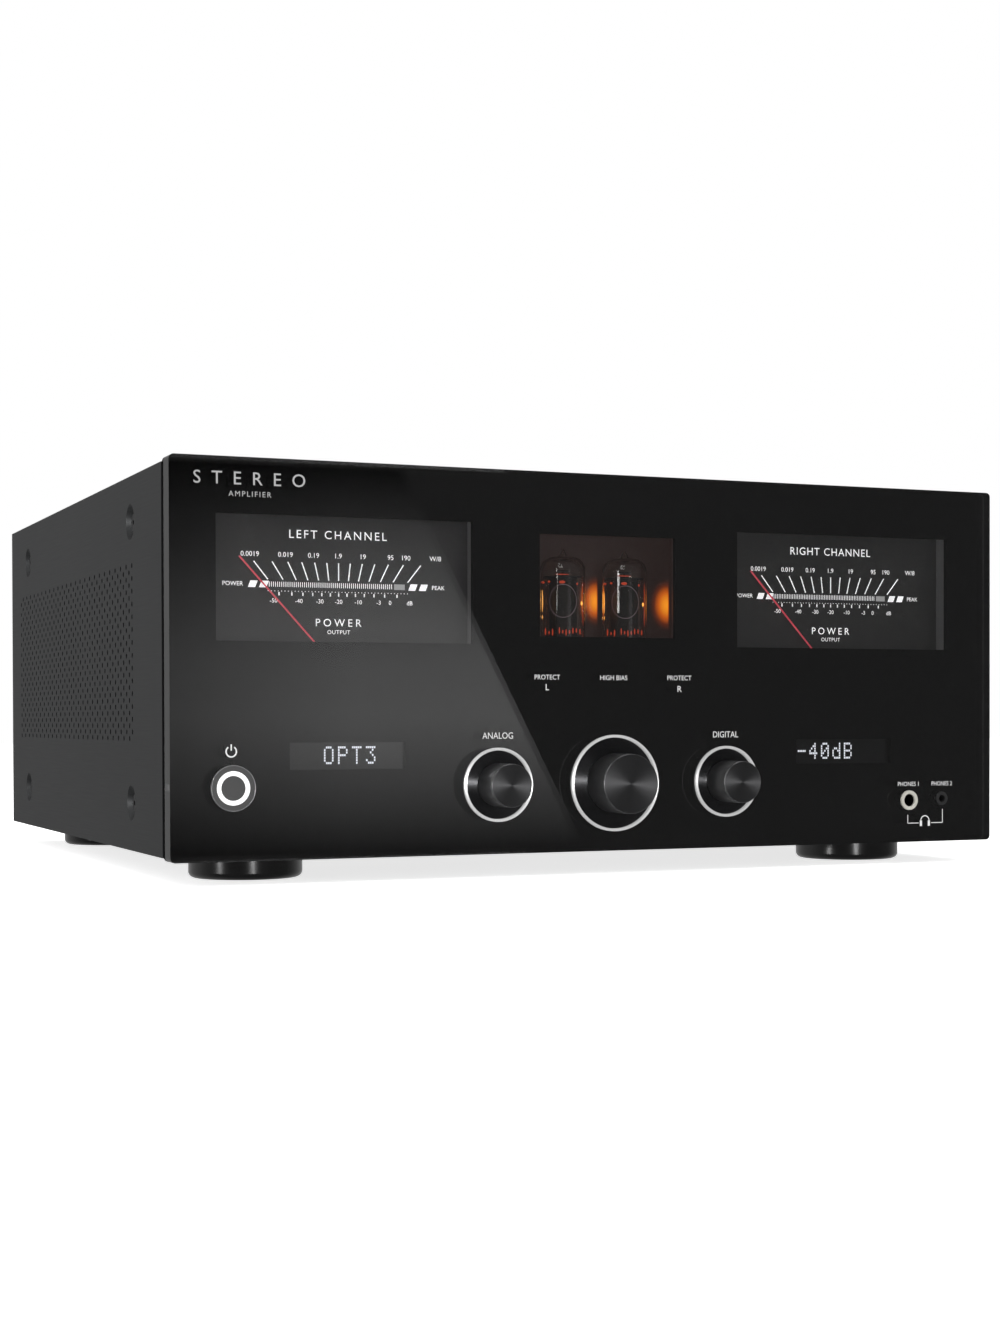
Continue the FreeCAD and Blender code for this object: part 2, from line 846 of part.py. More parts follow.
def pan_screw(radius, length, head, head_height, base, along):
    return lathe([("0", f"-({length})"), (radius, f"-({length})"), (radius, "0"), (head, "0"),
                  (head, head_height), ("0", head_height)], base, along)


def make_screws():
    side_screws = []
    for height in ("side_screw_low", "side_screw_high"):
        for side, depth, level in side_screw_places(height):
            outwards = "X" if side > 0 else "-X"
            seat = f"{side} * (case_width / 2 - side_inset - pocket_depth)"
            screw = pan_screw("side_screw_radius", "side_screw_length", "side_screw_head",
                              "side_screw_head_height", at(seat, depth, level), outwards)
            tip = f"{seat} + {side} * side_screw_head_height"
            socket = hexagon("hex_radius", "side_screw_head_height",
                             at(f"{tip} - {side} * hex_depth", depth, level), outwards)
            side_screws.append(cut(screw, socket))
    keep("side_panel_screws", group(*side_screws))

    small = []
    for x, depth in cover_screw_places():
        small.append(lathe([
            ("0", "-cover_screw_length"), ("case_screw_radius", "-cover_screw_length"),
            ("case_screw_radius", "-case_screw_head_height"), ("case_screw_head", "0"), ("0", "0"),
        ], at(x, depth, "side_top"), "Z"))
    for x, height in plate_screw_places():
        small.append(pan_screw("case_screw_radius", "bulkhead_thickness + plate_screw_depth",
                               "case_screw_head", "case_screw_head_height",
                               at(x, bulkhead_back, height), "Y"))
    for x, depth in rear_screw_places():
        small.append(pan_screw("case_screw_radius", "cover_screw_length", "case_screw_head",
                               "case_screw_head_height", at(x, depth, "tray_bottom"), "-Z"))
    keep("case_screws", group(*small))


def make_feet():
    feet, screws = [], []
    height = "(foot_height + tray_bottom)"
    for x, depth in foot_places():
        base = (x, f"{front} + {depth}", "0")
        body = lathe([
            ("foot_screw_radius + sheet_gap", "foot_recess"), ("foot_recess_radius", "foot_recess"),
            ("foot_recess_radius", "0"), ("foot_radius", "0"), ("foot_radius", height),
            ("foot_screw_radius + sheet_gap", height),
        ], base)
        feet.append(fillet(body, "foot_rounding", circle_at("foot_radius", "0")))
        reach = f"{height} - foot_recess + tray_thickness + foot_nut_height"
        screws.append(pan_screw("foot_screw_radius", reach,
                                "foot_screw_head", "foot_screw_head_height",
                                (x, f"{front} + {depth}", "foot_recess"), "-Z"))
    keep("feet", group(*feet))
    keep("foot_screws", group(*screws))


def make_knobs():
    rings, dishes, encoders = [], [], []
    for name, (x, radius, reach, ring) in knobs.items():
        base = at(x, "0", "knob_height")
        back = "(knob_gap - dish_depth)"
        bore = "shaft_radius + press_gap"
        body = lathe([
            (bore, back), (radius, back), (radius, f"{reach} - knob_chamfer"),
            (f"{radius} - knob_chamfer", reach), ("0", reach), ("0", f"{reach} - knob_wall"),
            (bore, f"{reach} - knob_wall"),
        ], base, "-Y")
        keep(f"{name}_knob", body)
        keep(f"{name}_shaft", rod("shaft_radius", f"{reach} - knob_wall + shaft_end",
                                  at(x, f"-({reach} - knob_wall)", "knob_height"), "Y"))
        rings.append(pipe(ring, f"{ring} - ring_width", "ring_proud + panel_thickness",
                          at(x, "-ring_proud", "knob_height"), "Y"))
        dishes.append(pipe(f"{ring} - ring_width - fixed_gap", bushing_radius,
                           "panel_thickness - dish_depth", at(x, "dish_depth", "knob_height"), "Y"))
        can = block(at(f"{x} - encoder_width / 2", bulkhead_back, "knob_height - encoder_width / 2"),
                    ("encoder_width", "encoder_depth", "encoder_width"))
        bushing = rod(bushing_radius, "plate_thickness + bulkhead_thickness + encoder_relief",
                      at(x, "panel_thickness", "knob_height"), "Y")
        bore_hole = rod("shaft_radius + running_gap", "shaft_end + encoder_relief - panel_thickness",
                        at(x, "panel_thickness", "knob_height"), "Y")
        encoders.append(cut(join(can, bushing), bore_hole))
    keep("knob_rings", group(*rings))
    keep("knob_dishes", group(*dishes))
    keep("encoders", group(*encoders))


def make_power_button():
    x, height = "-power_offset", "power_height"
    keep("power_bezel", pipe("power_bezel_radius", "power_lens_radius + fixed_gap",
                             "panel_thickness + power_bezel_proud", at(x, "-power_bezel_proud", height), "Y"))
    keep("power_light_ring", pipe("power_lens_radius", "power_cap_radius + running_gap",
                                  "panel_thickness + power_lens_proud",
                                  at(x, "-power_lens_proud", height), "Y"))
    cap = rod("power_cap_radius", "power_cap_length", at(x, "-power_cap_proud", height), "Y")
    stem = rod("power_stem_radius", "power_stem_end", at(x, "0", height), "Y")
    keep("power_button", join(cap, stem))
    half = "power_switch_width / 2"
    body = block(at(f"{x} - {half}", bulkhead_back, f"{height} - {half}"),
                 ("power_switch_width", "power_switch_depth", "power_switch_width"))
    bore = rod("power_stem_radius + running_gap",
               f"power_stem_end + power_travel + overcut - ({bulkhead_back})",
               at(x, bulkhead_back, height), "Y")
    keep("power_switch", cut(body, bore))


def make_jacks():
    for name in ("large_jack", "small_jack"):
        x, height, body = f"{name}_offset", f"{name}_height", f"{name}_body"
        barrel = rod(f"{name}_ring", f"jack_proud + {bulkhead_back} + overcut",
                     at(x, "-jack_proud", height), "Y")
        length = f"{name}_length - jack_proud + jack_back - ({bulkhead_back})"
        housing = block(at(f"{x} - {body} / 2", bulkhead_back, f"{height} - {body} / 2"),
                        (body, length, body))
        bore = rod(f"{name}_bore", f"{name}_length", at(x, "-jack_proud", height), "Y")
        keep({"large_jack": "large_phones_jack", "small_jack": "small_phones_jack"}[name],
             cut(join(barrel, housing), bore))


def make_meters():
    cases, dials, movements = [], [], []
    half = "(meter_inner_width / 2)"
    for side, name in ((-1, "left_needle"), (1, "right_needle")):
        x = f"{side} * meter_offset"
        shell = block(at(f"{x} - {half} - meter_wall", plate_back, "meter_bottom - meter_wall"),
                      ("meter_inner_width + 2 * meter_wall", "meter_depth + meter_wall",
                       "meter_top - meter_bottom + 2 * meter_wall"))
        hollow = block(at(f"{x} - {half}", plate_back, "meter_bottom"),
                       ("meter_inner_width", "meter_depth", "meter_top - meter_bottom"))
        cases.append(cut(shell, hollow))
        face = block(at(f"{x} - {half}", "dial_depth", "meter_bottom"),
                     ("meter_inner_width", "dial_thickness", "meter_top - meter_bottom"))
        arbor_hole = rod("pivot_radius + arbor_clearance", "dial_thickness + 2 * overcut",
                         at(x, "dial_depth - overcut", "pivot_height"), "Y")
        dials.append(cut(face, arbor_hole))
        dial_back = "dial_depth + dial_thickness"
        movement_end = f"({plate_back}) + meter_depth"
        coil = rod("movement_radius", f"{movement_end} - ({dial_back})",
                   at(x, dial_back, "pivot_height"), "Y")
        bearing = rod("pivot_radius + running_gap", "bearing_depth", at(x, dial_back, "pivot_height"), "Y")
        movements.append(cut(coil, bearing))
        needle_plane = "dial_depth - needle_gap"
        hub = rod("needle_hub", "hub_thickness",
                  at(x, f"{needle_plane} - hub_thickness / 2", "pivot_height"), "Y")
        arbor = rod("pivot_radius", "needle_gap + dial_thickness + arbor_tail",
                    at(x, needle_plane, "pivot_height"), "Y")
        blades = []
        for reach, turn in (("needle_length", "-needle_rest"), ("needle_tail", "180 - needle_rest")):
            blade = block(at(x, f"{needle_plane} - needle_thickness / 2", "pivot_height"),
                          ("needle_width", "needle_thickness", reach))
            blade.Placement.Rotation = FreeCAD.Rotation(FreeCAD.Vector(0, 1, 0), 1)
            bind(blade, ".Placement.Rotation.Angle", turn)
            bind(blade, ".Placement.Base.x", f"{x} - cos(({turn}) * 1 deg) * needle_width / 2")
            bind(blade, ".Placement.Base.z",
                 f"foot_height + pivot_height + sin(({turn}) * 1 deg) * needle_width / 2")
            blades.append(blade)
        keep(name, join(hub, arbor, *blades))
    keep("meter_cases", group(*cases))
    keep("meter_dials", group(*dials))
    keep("meter_movements", group(*movements))


def make_displays_and_indicators():
    modules = [
        block(at(f"{side} * display_offset - display_width / 2 - module_margin", plate_back,
                 "display_bottom - module_margin"),
              ("display_width + 2 * module_margin", "module_depth", "display_height + 2 * module_margin"))
        for side in (-1, 1)
    ]
    keep("display_modules", group(*modules))
    lamps = [rod("indicator_radius", "indicator_length", at(x, plate_back, "indicator_height"), "Y")
             for x in ("-indicator_offset", "0", "indicator_offset")]
    keep("indicator_leds", group(*lamps))


def make_tubes():
    half = "(bay_inner_width / 2)"
    shell = block(at(f"-{half} - bay_wall", plate_back, "bay_bottom - bay_wall"),
                  ("bay_inner_width + 2 * bay_wall", f"bay_depth + bay_wall - ({plate_back})",
                   "bay_top - bay_bottom + 2 * bay_wall"))
    hollow = block(at(f"-{half}", plate_back, "bay_bottom"),
                   ("bay_inner_width", f"bay_depth - ({plate_back})", "bay_top - bay_bottom"))
    keep("tube_bay", cut(shell, hollow))
    envelopes, electrodes, sockets = [], [], []
    for side in (-1, 1):
        x = f"{side} * tube_offset"
        base = at(x, "tube_depth", "tube_bottom")

        def glass(radius, low, high, tip):
            body = lathe([("0", low), (radius, low), (radius, high), (tip, high),
                          ("tube_tip_end", f"{high} + tube_tip_height"),
                          ("0", f"{high} + tube_tip_height")], base)
            return fillet(body, "tube_shoulder", circle_at(radius, high))

        inner = glass("tube_radius - tube_glass", "tube_floor", "tube_body_height - tube_glass",
                      "tube_tip_radius - tube_glass")
        envelopes.append(cut(glass("tube_radius", "0", "tube_body_height", "tube_tip_radius"), inner))
        sockets.append(rod("socket_radius", "tube_bottom - bay_bottom", at(x, "tube_depth", "bay_bottom")))
        anode = block(at(f"{x} - anode_width / 2", "tube_depth - anode_depth / 2", "anode_bottom"),
                      ("anode_width", "anode_depth", "anode_height"))
        micas = [rod("mica_radius", "mica_thickness", at(x, "tube_depth", level))
                 for level in ("anode_bottom - mica_thickness", "anode_bottom + anode_height")]
        foot = "tube_bottom + tube_floor"
        supports = [rod("support_radius", f"anode_bottom - ({foot})",
                        at(f"{x} + {step} * support_offset", "tube_depth", foot)) for step in (-1, 1)]
        top = "anode_bottom + anode_height + mica_thickness"
        stem = rod("support_radius", "getter_lift", at(x, "tube_depth", top))
        getter = rod("getter_radius", "getter_thickness", at(x, "tube_depth", f"{top} + getter_lift"))
        electrodes.append(join(anode, *micas, *supports, stem, getter))
    keep("tube_envelopes", group(*envelopes))
    keep("tube_electrodes", group(*electrodes))
    keep("tube_sockets", group(*sockets))


def make_power_supply():
    winding = lathe([
        ("transformer_hole", "0"), ("transformer_radius", "0"),
        ("transformer_radius", "transformer_height"), ("transformer_hole", "transformer_height"),
    ], at("0", "transformer_depth", tray_top))
    for level in ("0", "transformer_height"):
        fillet(winding, "transformer_rounding", circle_at("transformer_radius", level))
    keep("toroidal_transformer", winding)
    top = f"{tray_top} + transformer_height"
    keep("transformer_clamp", join(
        rod("clamp_radius", "clamp_thickness", at("0", "transformer_depth", top)),
        rod("clamp_bolt_radius", f"{top} + clamp_thickness + overcut - tray_bottom",
            at("0", "transformer_depth", "tray_bottom")),
        rod("clamp_nut_radius", "clamp_nut_height", at("0", "transformer_depth", f"{top} + clamp_thickness")),
    ))
    keep("power_capacitors", group(*[
        rod("capacitor_radius", "capacitor_height", at(f"{side} * capacitor_offset", depth, board_top))
        for side in (-1, 1) for depth in ("capacitor_front", "capacitor_rear")
    ]))


def make_output_stage():
    sinks, transistors = [], []
    length = "(sink_fin_pitch * (sink_fin_count - 1) + sink_fin_thickness)"
    for side in (-1, 1):
        body = doc.addObject("PartDesign::Body", "sink")
        root = f"{side} * sink_inner"
        base_far = f"{side} * (sink_inner + sink_base)"
        fin_far = f"{side} * (sink_inner + sink_base + sink_fin_length)"
        spine = sketch_on(body, "XY_Plane", "spine")
        draw_rectangle(spine, root, "0", base_far, length)
        pad(body, spine, "sink_height")
        fin = sketch_on(body, "XY_Plane", "fin")
        draw_rectangle(fin, f"{side} * (sink_inner + 1)", "0", fin_far, "sink_fin_thickness")
        first_fin = pad(body, fin, "sink_height")
        pattern = body.newObject("PartDesign::LinearPattern", "fins")
        pattern.Originals = [first_fin]
        pattern.Direction = (fin, ["V_Axis"])
        bind(pattern, "Length", "sink_fin_pitch * (sink_fin_count - 1)")
        bind(pattern, "Occurrences", "sink_fin_count")
        body.Tip = pattern
        sinks.append(place(body, at("0", "sink_front", tray_top)))
        for step in range(4):
            near = "sink_inner - transistor_thickness" if side > 0 else "-sink_inner"
            transistors.append(block(
                at(near, f"transistor_front + {step} * transistor_pitch", "transistor_centre"),
                ("transistor_thickness", "transistor_width", "transistor_height")))
    keep("heatsinks", group(*sinks))
    keep("power_transistors", group(*transistors))


def make_boards():
    main = block(at("-main_board_width / 2", "main_board_front", f"{tray_top} + main_board_lift"),
                 ("main_board_width", "main_board_rear - main_board_front", "board_thickness"))
    inputs = block(at("-phono_start - input_board_margin", "input_board_depth", "input_board_low"),
                   ("phono_start + optical_offset + 2 * (optical_pitch + input_board_margin)",
                    "board_thickness", "input_board_high - input_board_low"))
    control = block(at("-control_board_width / 2", f"{bulkhead_back} + encoder_depth", "control_board_low"),
                    ("control_board_width", "board_thickness", "control_board_high - control_board_low"))
    keep("circuit_boards", group(main, inputs, control))


def make_mains_inlet():
    x, height = "inlet_offset", "inlet_height"

    def centred(across, depth, size, length, tall):
        return block(at(f"{across} - ({size}) / 2", depth, f"{height} - ({tall}) / 2"), (size, length, tall))

    flange = centred(x, "case_depth", "inlet_flange_width", "inlet_flange", "inlet_flange_height")
    body = centred(x, "case_depth - inlet_body_depth", "inlet_body_width", "inlet_body_depth + overcut",
                   "inlet_body_height")
    mouth = "(case_depth + inlet_flange)"
    socket = f"({x} - cavity_offset)"
    cavity = centred(socket, f"{mouth} - cavity_depth", "cavity_width", "cavity_depth", "cavity_height")
    switch = f"({x} + rocker_offset)"
    recess = centred(switch, f"{mouth} - rocker_recess", "rocker_width + 2 * rocker_gap", "rocker_recess",
                     "rocker_height + 2 * rocker_gap")
    pin_depth = f"{mouth} - rocker_pin_depth"
    pin_reach = "(rocker_width / 2 + rocker_gap + rocker_pin_end)"
    pin_hole = rod("rocker_pin + running_gap", f"2 * ({pin_reach} + sheet_gap)",
                   at(f"{switch} - {pin_reach} - sheet_gap", pin_depth, height), "X")
    blades = [
        block(at(f"{socket} + {step} * blade_pitch - blade_width / 2", f"{mouth} - cavity_depth - overcut",
                 f"{height} + {rise} * blade_stagger - blade_height / 2"),
              ("blade_width", "blade_length + overcut", "blade_height"))
        for step, rise in ((-1, -1), (0, 1), (1, -1))
    ]
    keep("mains_inlet", join(cut(join(flange, body), cavity, join(recess, pin_hole)), *blades))

    # seen from the side, the rocker is a shallow vee that tips about its pin
    rocker = doc.addObject("PartDesign::Body", "rocker")
    side_view = sketch_on(rocker, "YZ_Plane", "side_view")
    half = "(rocker_height / 2)"
    draw_outline(side_view, [
        ("-rocker_root", f"rocker_taper - {half}"), ("0", f"rocker_edge - {half}"),
        ("rocker_crest", f"rocker_edge - {half}"), ("rocker_rise", "0"),
        ("rocker_crest", f"{half} - rocker_edge"), ("0", f"{half} - rocker_edge"),
        ("-rocker_root", f"{half} - rocker_taper"),
    ])
    pad(rocker, side_view, "rocker_width")
    place(rocker, at(f"{switch} - rocker_width / 2", pin_depth, height))
    rocker.Placement.Rotation = FreeCAD.Rotation(FreeCAD.Vector(1, 0, 0), 1)
    bind(rocker, ".Placement.Rotation.Angle", "rocker_angle")
    pin = rod("rocker_pin", f"2 * {pin_reach}", at(f"{switch} - {pin_reach}", pin_depth, height), "X")
    keep("mains_rocker", join(rocker, pin))


def make_speaker_terminals():
    bases, studs = [], []
    face = "(case_depth + terminal_base)"
    order = dict(zip(terminal_places(), ("left_minus", "left_plus", "right_minus", "right_plus")))
    for x, name in order.items():
        bore = rod("stud_radius + press_gap", "rear_thickness + 2 * (terminal_base + overcut)",
                   at(x, f"{rear_front} - terminal_base - overcut", "terminal_height"), "Y")
        base = join(
            rod("terminal_base_radius", "terminal_base", at(x, "case_depth", "terminal_height"), "Y"),
            rod("terminal_neck", "rear_thickness", at(x, rear_front, "terminal_height"), "Y"),
            rod("terminal_base_radius", "terminal_base",
                at(x, f"{rear_front} - terminal_base", "terminal_height"), "Y"),
        )
        bases.append(cut(base, bore))
        stud = rod("stud_radius", "stud_tail + post_reach",
                   at(x, "case_depth - stud_tail", "terminal_height"), "Y")
        nut_front = f"{rear_front} - terminal_base"
        nut = rod("stud_nut_radius", "stud_nut_height",
                  at(x, f"{nut_front} - stud_nut_height", "terminal_height"), "Y")
        socket = rod("post_bore", "post_bore_length",
                     at(x, "case_depth + post_reach - post_bore_length", "terminal_height"), "Y")
        studs.append(cut(join(stud, nut), socket))
        keep(f"{name}_collar", pipe("collar_radius", "stud_radius + running_gap", "collar_thickness",
                                    at(x, face, "terminal_height"), "Y"))
        cap = lathe([
            ("stud_radius + running_gap", "0"), ("cap_radius", "0"),
            ("cap_radius", "cap_length - cap_chamfer"), ("cap_radius - cap_chamfer", "cap_length"),
            ("stud_radius + running_gap", "cap_length"),
        ], at(x, f"{face} + collar_thickness + cap_gap", "terminal_height"), "Y")
        keep(f"{name}_cap", cap)
    keep("speaker_bases", group(*bases))
    keep("speaker_posts", group(*studs))


def make_signal_sockets():
    shells, inserts = [], []
    tail = "(case_depth - input_board_depth - board_thickness)"
    for x, height in phono_places():
        base = at(x, "case_depth", height)
        shells.append(lathe([
            ("phono_bore", f"-{tail}"), ("phono_radius", f"-{tail}"), ("phono_radius", "0"),
            ("phono_flange_radius", "0"), ("phono_flange_radius", "phono_flange"),
            ("phono_radius", "phono_flange"), ("phono_radius", "phono_reach"), ("phono_bore", "phono_reach"),
        ], base, "Y"))
        rim = "phono_bore - fixed_gap"
        floor = "phono_insert_reach - phono_hole_length"
        inserts.append(lathe([
            ("0", f"-{tail}"), (rim, f"-{tail}"), (rim, "phono_insert_reach"),
            ("phono_hole", "phono_insert_reach"), ("phono_hole", floor), ("0", floor),
        ], base, "Y"))
    keep("phono_shells", group(*shells))
    keep("phono_inserts", group(*inserts))
    sockets = []
    for x in optical_places():
        low = at(f"{x} - optical_size / 2", "input_board_depth + board_thickness",
                 "optical_height - optical_size / 2")
        length = "case_depth - input_board_depth - board_thickness + optical_reach"
        hole = block(at(f"{x} - optical_opening / 2", "case_depth + optical_reach - optical_length",
                        "optical_height - optical_opening / 2"),
                     ("optical_opening", "optical_length", "optical_opening"))
        sockets.append(cut(block(low, ("optical_size", length, "optical_size")), hole))
    keep("optical_sockets", group(*sockets))


for make in (
    make_front_panel, make_backing_plate, make_bulkhead, make_tray, make_rear_panel, make_top_cover,
    make_side_panels, make_rails, make_screws, make_feet, make_knobs, make_power_button, make_jacks,
    make_meters, make_displays_and_indicators, make_tubes, make_power_supply, make_output_stage,
    make_boards, make_mains_inlet, make_speaker_terminals, make_signal_sockets,
):
    make()

doc.recompute()
for piece in doc.Objects:
    if "Invalid" in piece.State or "Error" in piece.State:
        raise RuntimeError(f"{piece.Name} failed: {piece.getStatusString()}")

os.makedirs("parts", exist_ok=True)
for piece in nodes:
    if piece.Shape.isNull() or not piece.Shape.isValid():
        raise RuntimeError(f"{piece.Label} has no valid shape")
for piece in nodes:
    piece.Shape.exportStep(f"parts/{piece.Label}.step")
    box = piece.Shape.BoundBox
    spans = " x ".join(f"{span:.1f}" for span in (box.XLength, box.YLength, box.ZLength))
    print(f"{piece.Label}: {len(piece.Shape.Solids)} solids, {spans}")
print(f"{len(nodes)} nodes")
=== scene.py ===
import math

import bmesh
import bpy
from mathutils import Matrix, Vector


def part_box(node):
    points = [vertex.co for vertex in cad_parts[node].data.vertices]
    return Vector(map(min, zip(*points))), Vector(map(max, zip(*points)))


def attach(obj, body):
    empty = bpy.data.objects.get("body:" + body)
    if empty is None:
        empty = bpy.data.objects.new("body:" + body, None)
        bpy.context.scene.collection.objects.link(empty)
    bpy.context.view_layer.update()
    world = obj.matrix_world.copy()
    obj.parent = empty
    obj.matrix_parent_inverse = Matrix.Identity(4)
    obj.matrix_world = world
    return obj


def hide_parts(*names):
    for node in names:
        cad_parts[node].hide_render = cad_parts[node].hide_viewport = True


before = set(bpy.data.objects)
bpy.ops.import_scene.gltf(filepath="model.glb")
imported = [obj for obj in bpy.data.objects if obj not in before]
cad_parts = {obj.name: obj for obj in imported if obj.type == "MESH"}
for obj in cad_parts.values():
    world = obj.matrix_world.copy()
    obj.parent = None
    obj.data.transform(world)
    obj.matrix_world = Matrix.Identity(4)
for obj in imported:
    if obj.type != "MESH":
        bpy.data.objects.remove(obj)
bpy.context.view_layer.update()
mm = 0.001

# fixed places read from the frame, in metres
panelLow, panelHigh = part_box("front_panel")
frontY = panelLow[1]
bottomZ = panelLow[2]
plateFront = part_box("backing_plate")[0][1]
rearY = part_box("rear_panel")[1][1]
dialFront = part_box("meter_dials")[0][1]
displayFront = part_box("display_modules")[0][1]


def onFront(x, height, depth=0.0):
    # millimetres across, up from the panel's lower edge and back from its face
    return Vector((x * mm, frontY + depth * mm, bottomZ + height * mm))


def hexColor(text):
    # sRGB hex to the linear colour that shaders want
    parts = [int(text[i:i + 2], 16) / 255 for i in (1, 3, 5)]
    return [v / 12.92 if v <= 0.04045 else ((v + 0.055) / 1.055) ** 2.4 for v in parts] + [1.0]


def addNode(tree, kind, inputs=None, links=None, **settings):
    node = tree.nodes.new(kind)
    for key, value in settings.items():
        setattr(node, key, value)
    for key, value in (inputs or {}).items():
        node.inputs[key].default_value = value
    for key, source in (links or {}).items():
        tree.links.new(source, node.inputs[key])
    return node


def startMaterial(name, **inputs):
    material = bpy.data.materials.new(name)
    material.use_nodes = True
    tree = material.node_tree
    shader = tree.nodes["Principled BSDF"]
    for key, value in inputs.items():  # Base_Color stands for the socket Base Color
        shader.inputs[key.replace("_", " ")].default_value = value
    return material, tree, shader


def objectPlace(tree):
    return addNode(tree, "ShaderNodeTexCoord").outputs["Object"]


def addBump(tree, shader, height, strength, distance):
    bump = addNode(tree, "ShaderNodeBump", {"Strength": strength, "Distance": distance}, {"Height": height})
    tree.links.new(bump.outputs["Normal"], shader.inputs["Normal"])


def addRamp(tree, factor, stops):
    ramp = addNode(tree, "ShaderNodeValToRGB", links={"Fac": factor})
    elements = ramp.color_ramp.elements
    while len(elements) < len(stops):
        elements.new(0.5)
    for element, (place, color) in zip(elements, stops):
        element.position = place
        element.color = color
    return ramp.outputs["Color"]


def grey(value):
    return [value, value, value, 1.0]


def speckle(tree, place, sizeMm, detail=2.0, stretch=(1, 1, 1)):
    # noise whose features are about sizeMm across
    mapping = addNode(tree, "ShaderNodeMapping", {"Scale": stretch}, {"Vector": place})
    noise = addNode(tree, "ShaderNodeTexNoise", {"Scale": 1000 / sizeMm, "Detail": detail},
                    {"Vector": mapping.outputs["Vector"]})
    return noise.outputs["Fac"]


def makeClearAcrylic():
    # cast acrylic, flame-polished: water-clear, with a sharp reflection
    material, tree, shader = startMaterial("castAcrylic", Base_Color=hexColor("#f4f4f4"), Roughness=0.0,
                                           IOR=1.49, Transmission_Weight=1.0)
    return material


def makeBlackPrint():
    # screen ink bonded to the acrylic's back: dead black, with no gloss of its own
    material, tree, shader = startMaterial("screenInk", Roughness=1.0, Specular_IOR_Level=0.0)
    ink = addRamp(tree, speckle(tree, objectPlace(tree), 3.0),
                  [(0.3, hexColor("#0a0a0a")), (0.7, hexColor("#0d0d0e"))])
    tree.links.new(ink, shader.inputs["Base Color"])
    return material


brushed = {
    "grainMm": 0.5,
    "stretch": {"Y": (1, 0.012, 1), "X": (0.012, 1, 1)},  # streaks far longer than they are wide
    "cloudMm": 60.0,
    "rough": (0.42, 0.55),
}


def makeBrushedAnodised(name, low, high, along="Y"):
    # anodised aluminium, brushed along its length: long fine streaks and a broad soft sheen
    material, tree, shader = startMaterial(name, Metallic=0.55, Specular_IOR_Level=0.4)
    place = objectPlace(tree)
    streaks = speckle(tree, place, brushed["grainMm"], 3.0, brushed["stretch"][along])
    clouds = speckle(tree, place, brushed["cloudMm"])
    blend = addNode(tree, "ShaderNodeMath", {1: 0.35}, {0: clouds}, operation="MULTIPLY_ADD")
    tree.links.new(streaks, blend.inputs[2])
    tree.links.new(addRamp(tree, blend.outputs[0], [(0.35, hexColor(low)), (1.0, hexColor(high))]),
                   shader.inputs["Base Color"])
    rough = addNode(tree, "ShaderNodeMapRange", {"To Min": brushed["rough"][0], "To Max": brushed["rough"][1]},
                    {"Value": streaks})
    tree.links.new(rough.outputs["Result"], shader.inputs["Roughness"])
    addBump(tree, shader, streaks, 0.25, 0.00002)
    return material


def makeGrained(name, low, high, rough, grainMm=0.4, metallic=0.0, bump=0.3, coat=0.0, roughSpan=0.08):
    # moulded, cast or powder-coated skin with a fine even grain
    material, tree, shader = startMaterial(name, Metallic=metallic, Coat_Weight=coat, Coat_Roughness=0.05)
    place = objectPlace(tree)
    grain = speckle(tree, place, grainMm)
    tree.links.new(addRamp(tree, speckle(tree, place, 14.0), [(0.3, hexColor(low)), (0.7, hexColor(high))]),
                   shader.inputs["Base Color"])
    span = addNode(tree, "ShaderNodeMapRange", {"To Min": rough - roughSpan, "To Max": rough + roughSpan},
                   {"Value": grain})
    tree.links.new(span.outputs["Result"], shader.inputs["Roughness"])
    addBump(tree, shader, grain, bump, 0.00003)
    return material


def makeGlow(name, color, strength, base="#101010"):
    # a glowing surface, used both for real lamps and for painted light on parts that are no lamps: its glow is
    # even, with a faint grain of the print or diffuser
    material, tree, shader = startMaterial(name, Base_Color=hexColor(base), Roughness=0.5,
                                           Emission_Strength=strength)
    dimmer = [v * 0.93 for v in hexColor(color)[:3]] + [1.0]
    light = addRamp(tree, speckle(tree, objectPlace(tree), 0.6), [(0.2, dimmer), (0.8, hexColor(color))])
    tree.links.new(light, shader.inputs["Emission Color"])
    return material


def makeOneSidedInk(name, color, shade):
    # screen print on clear acrylic: grey from the front, with a black backing behind it; its glow is painted
    # light, standing in for the light that falls on the print
    material, tree, shader = startMaterial(name, Roughness=0.6, Specular_IOR_Level=0.2, Emission_Strength=0.6)
    ink = addRamp(tree, speckle(tree, objectPlace(tree), 0.5), [(0.2, hexColor(shade)), (0.8, hexColor(color))])
    side = addNode(tree, "ShaderNodeNewGeometry")
    face = addNode(tree, "ShaderNodeMix", {"B": hexColor("#050505")},
                   {"Factor": side.outputs["Backfacing"], "A": ink}, data_type="RGBA")
    for key in ("Base Color", "Emission Color"):
        tree.links.new(face.outputs["Result"], shader.inputs[key])
    return material


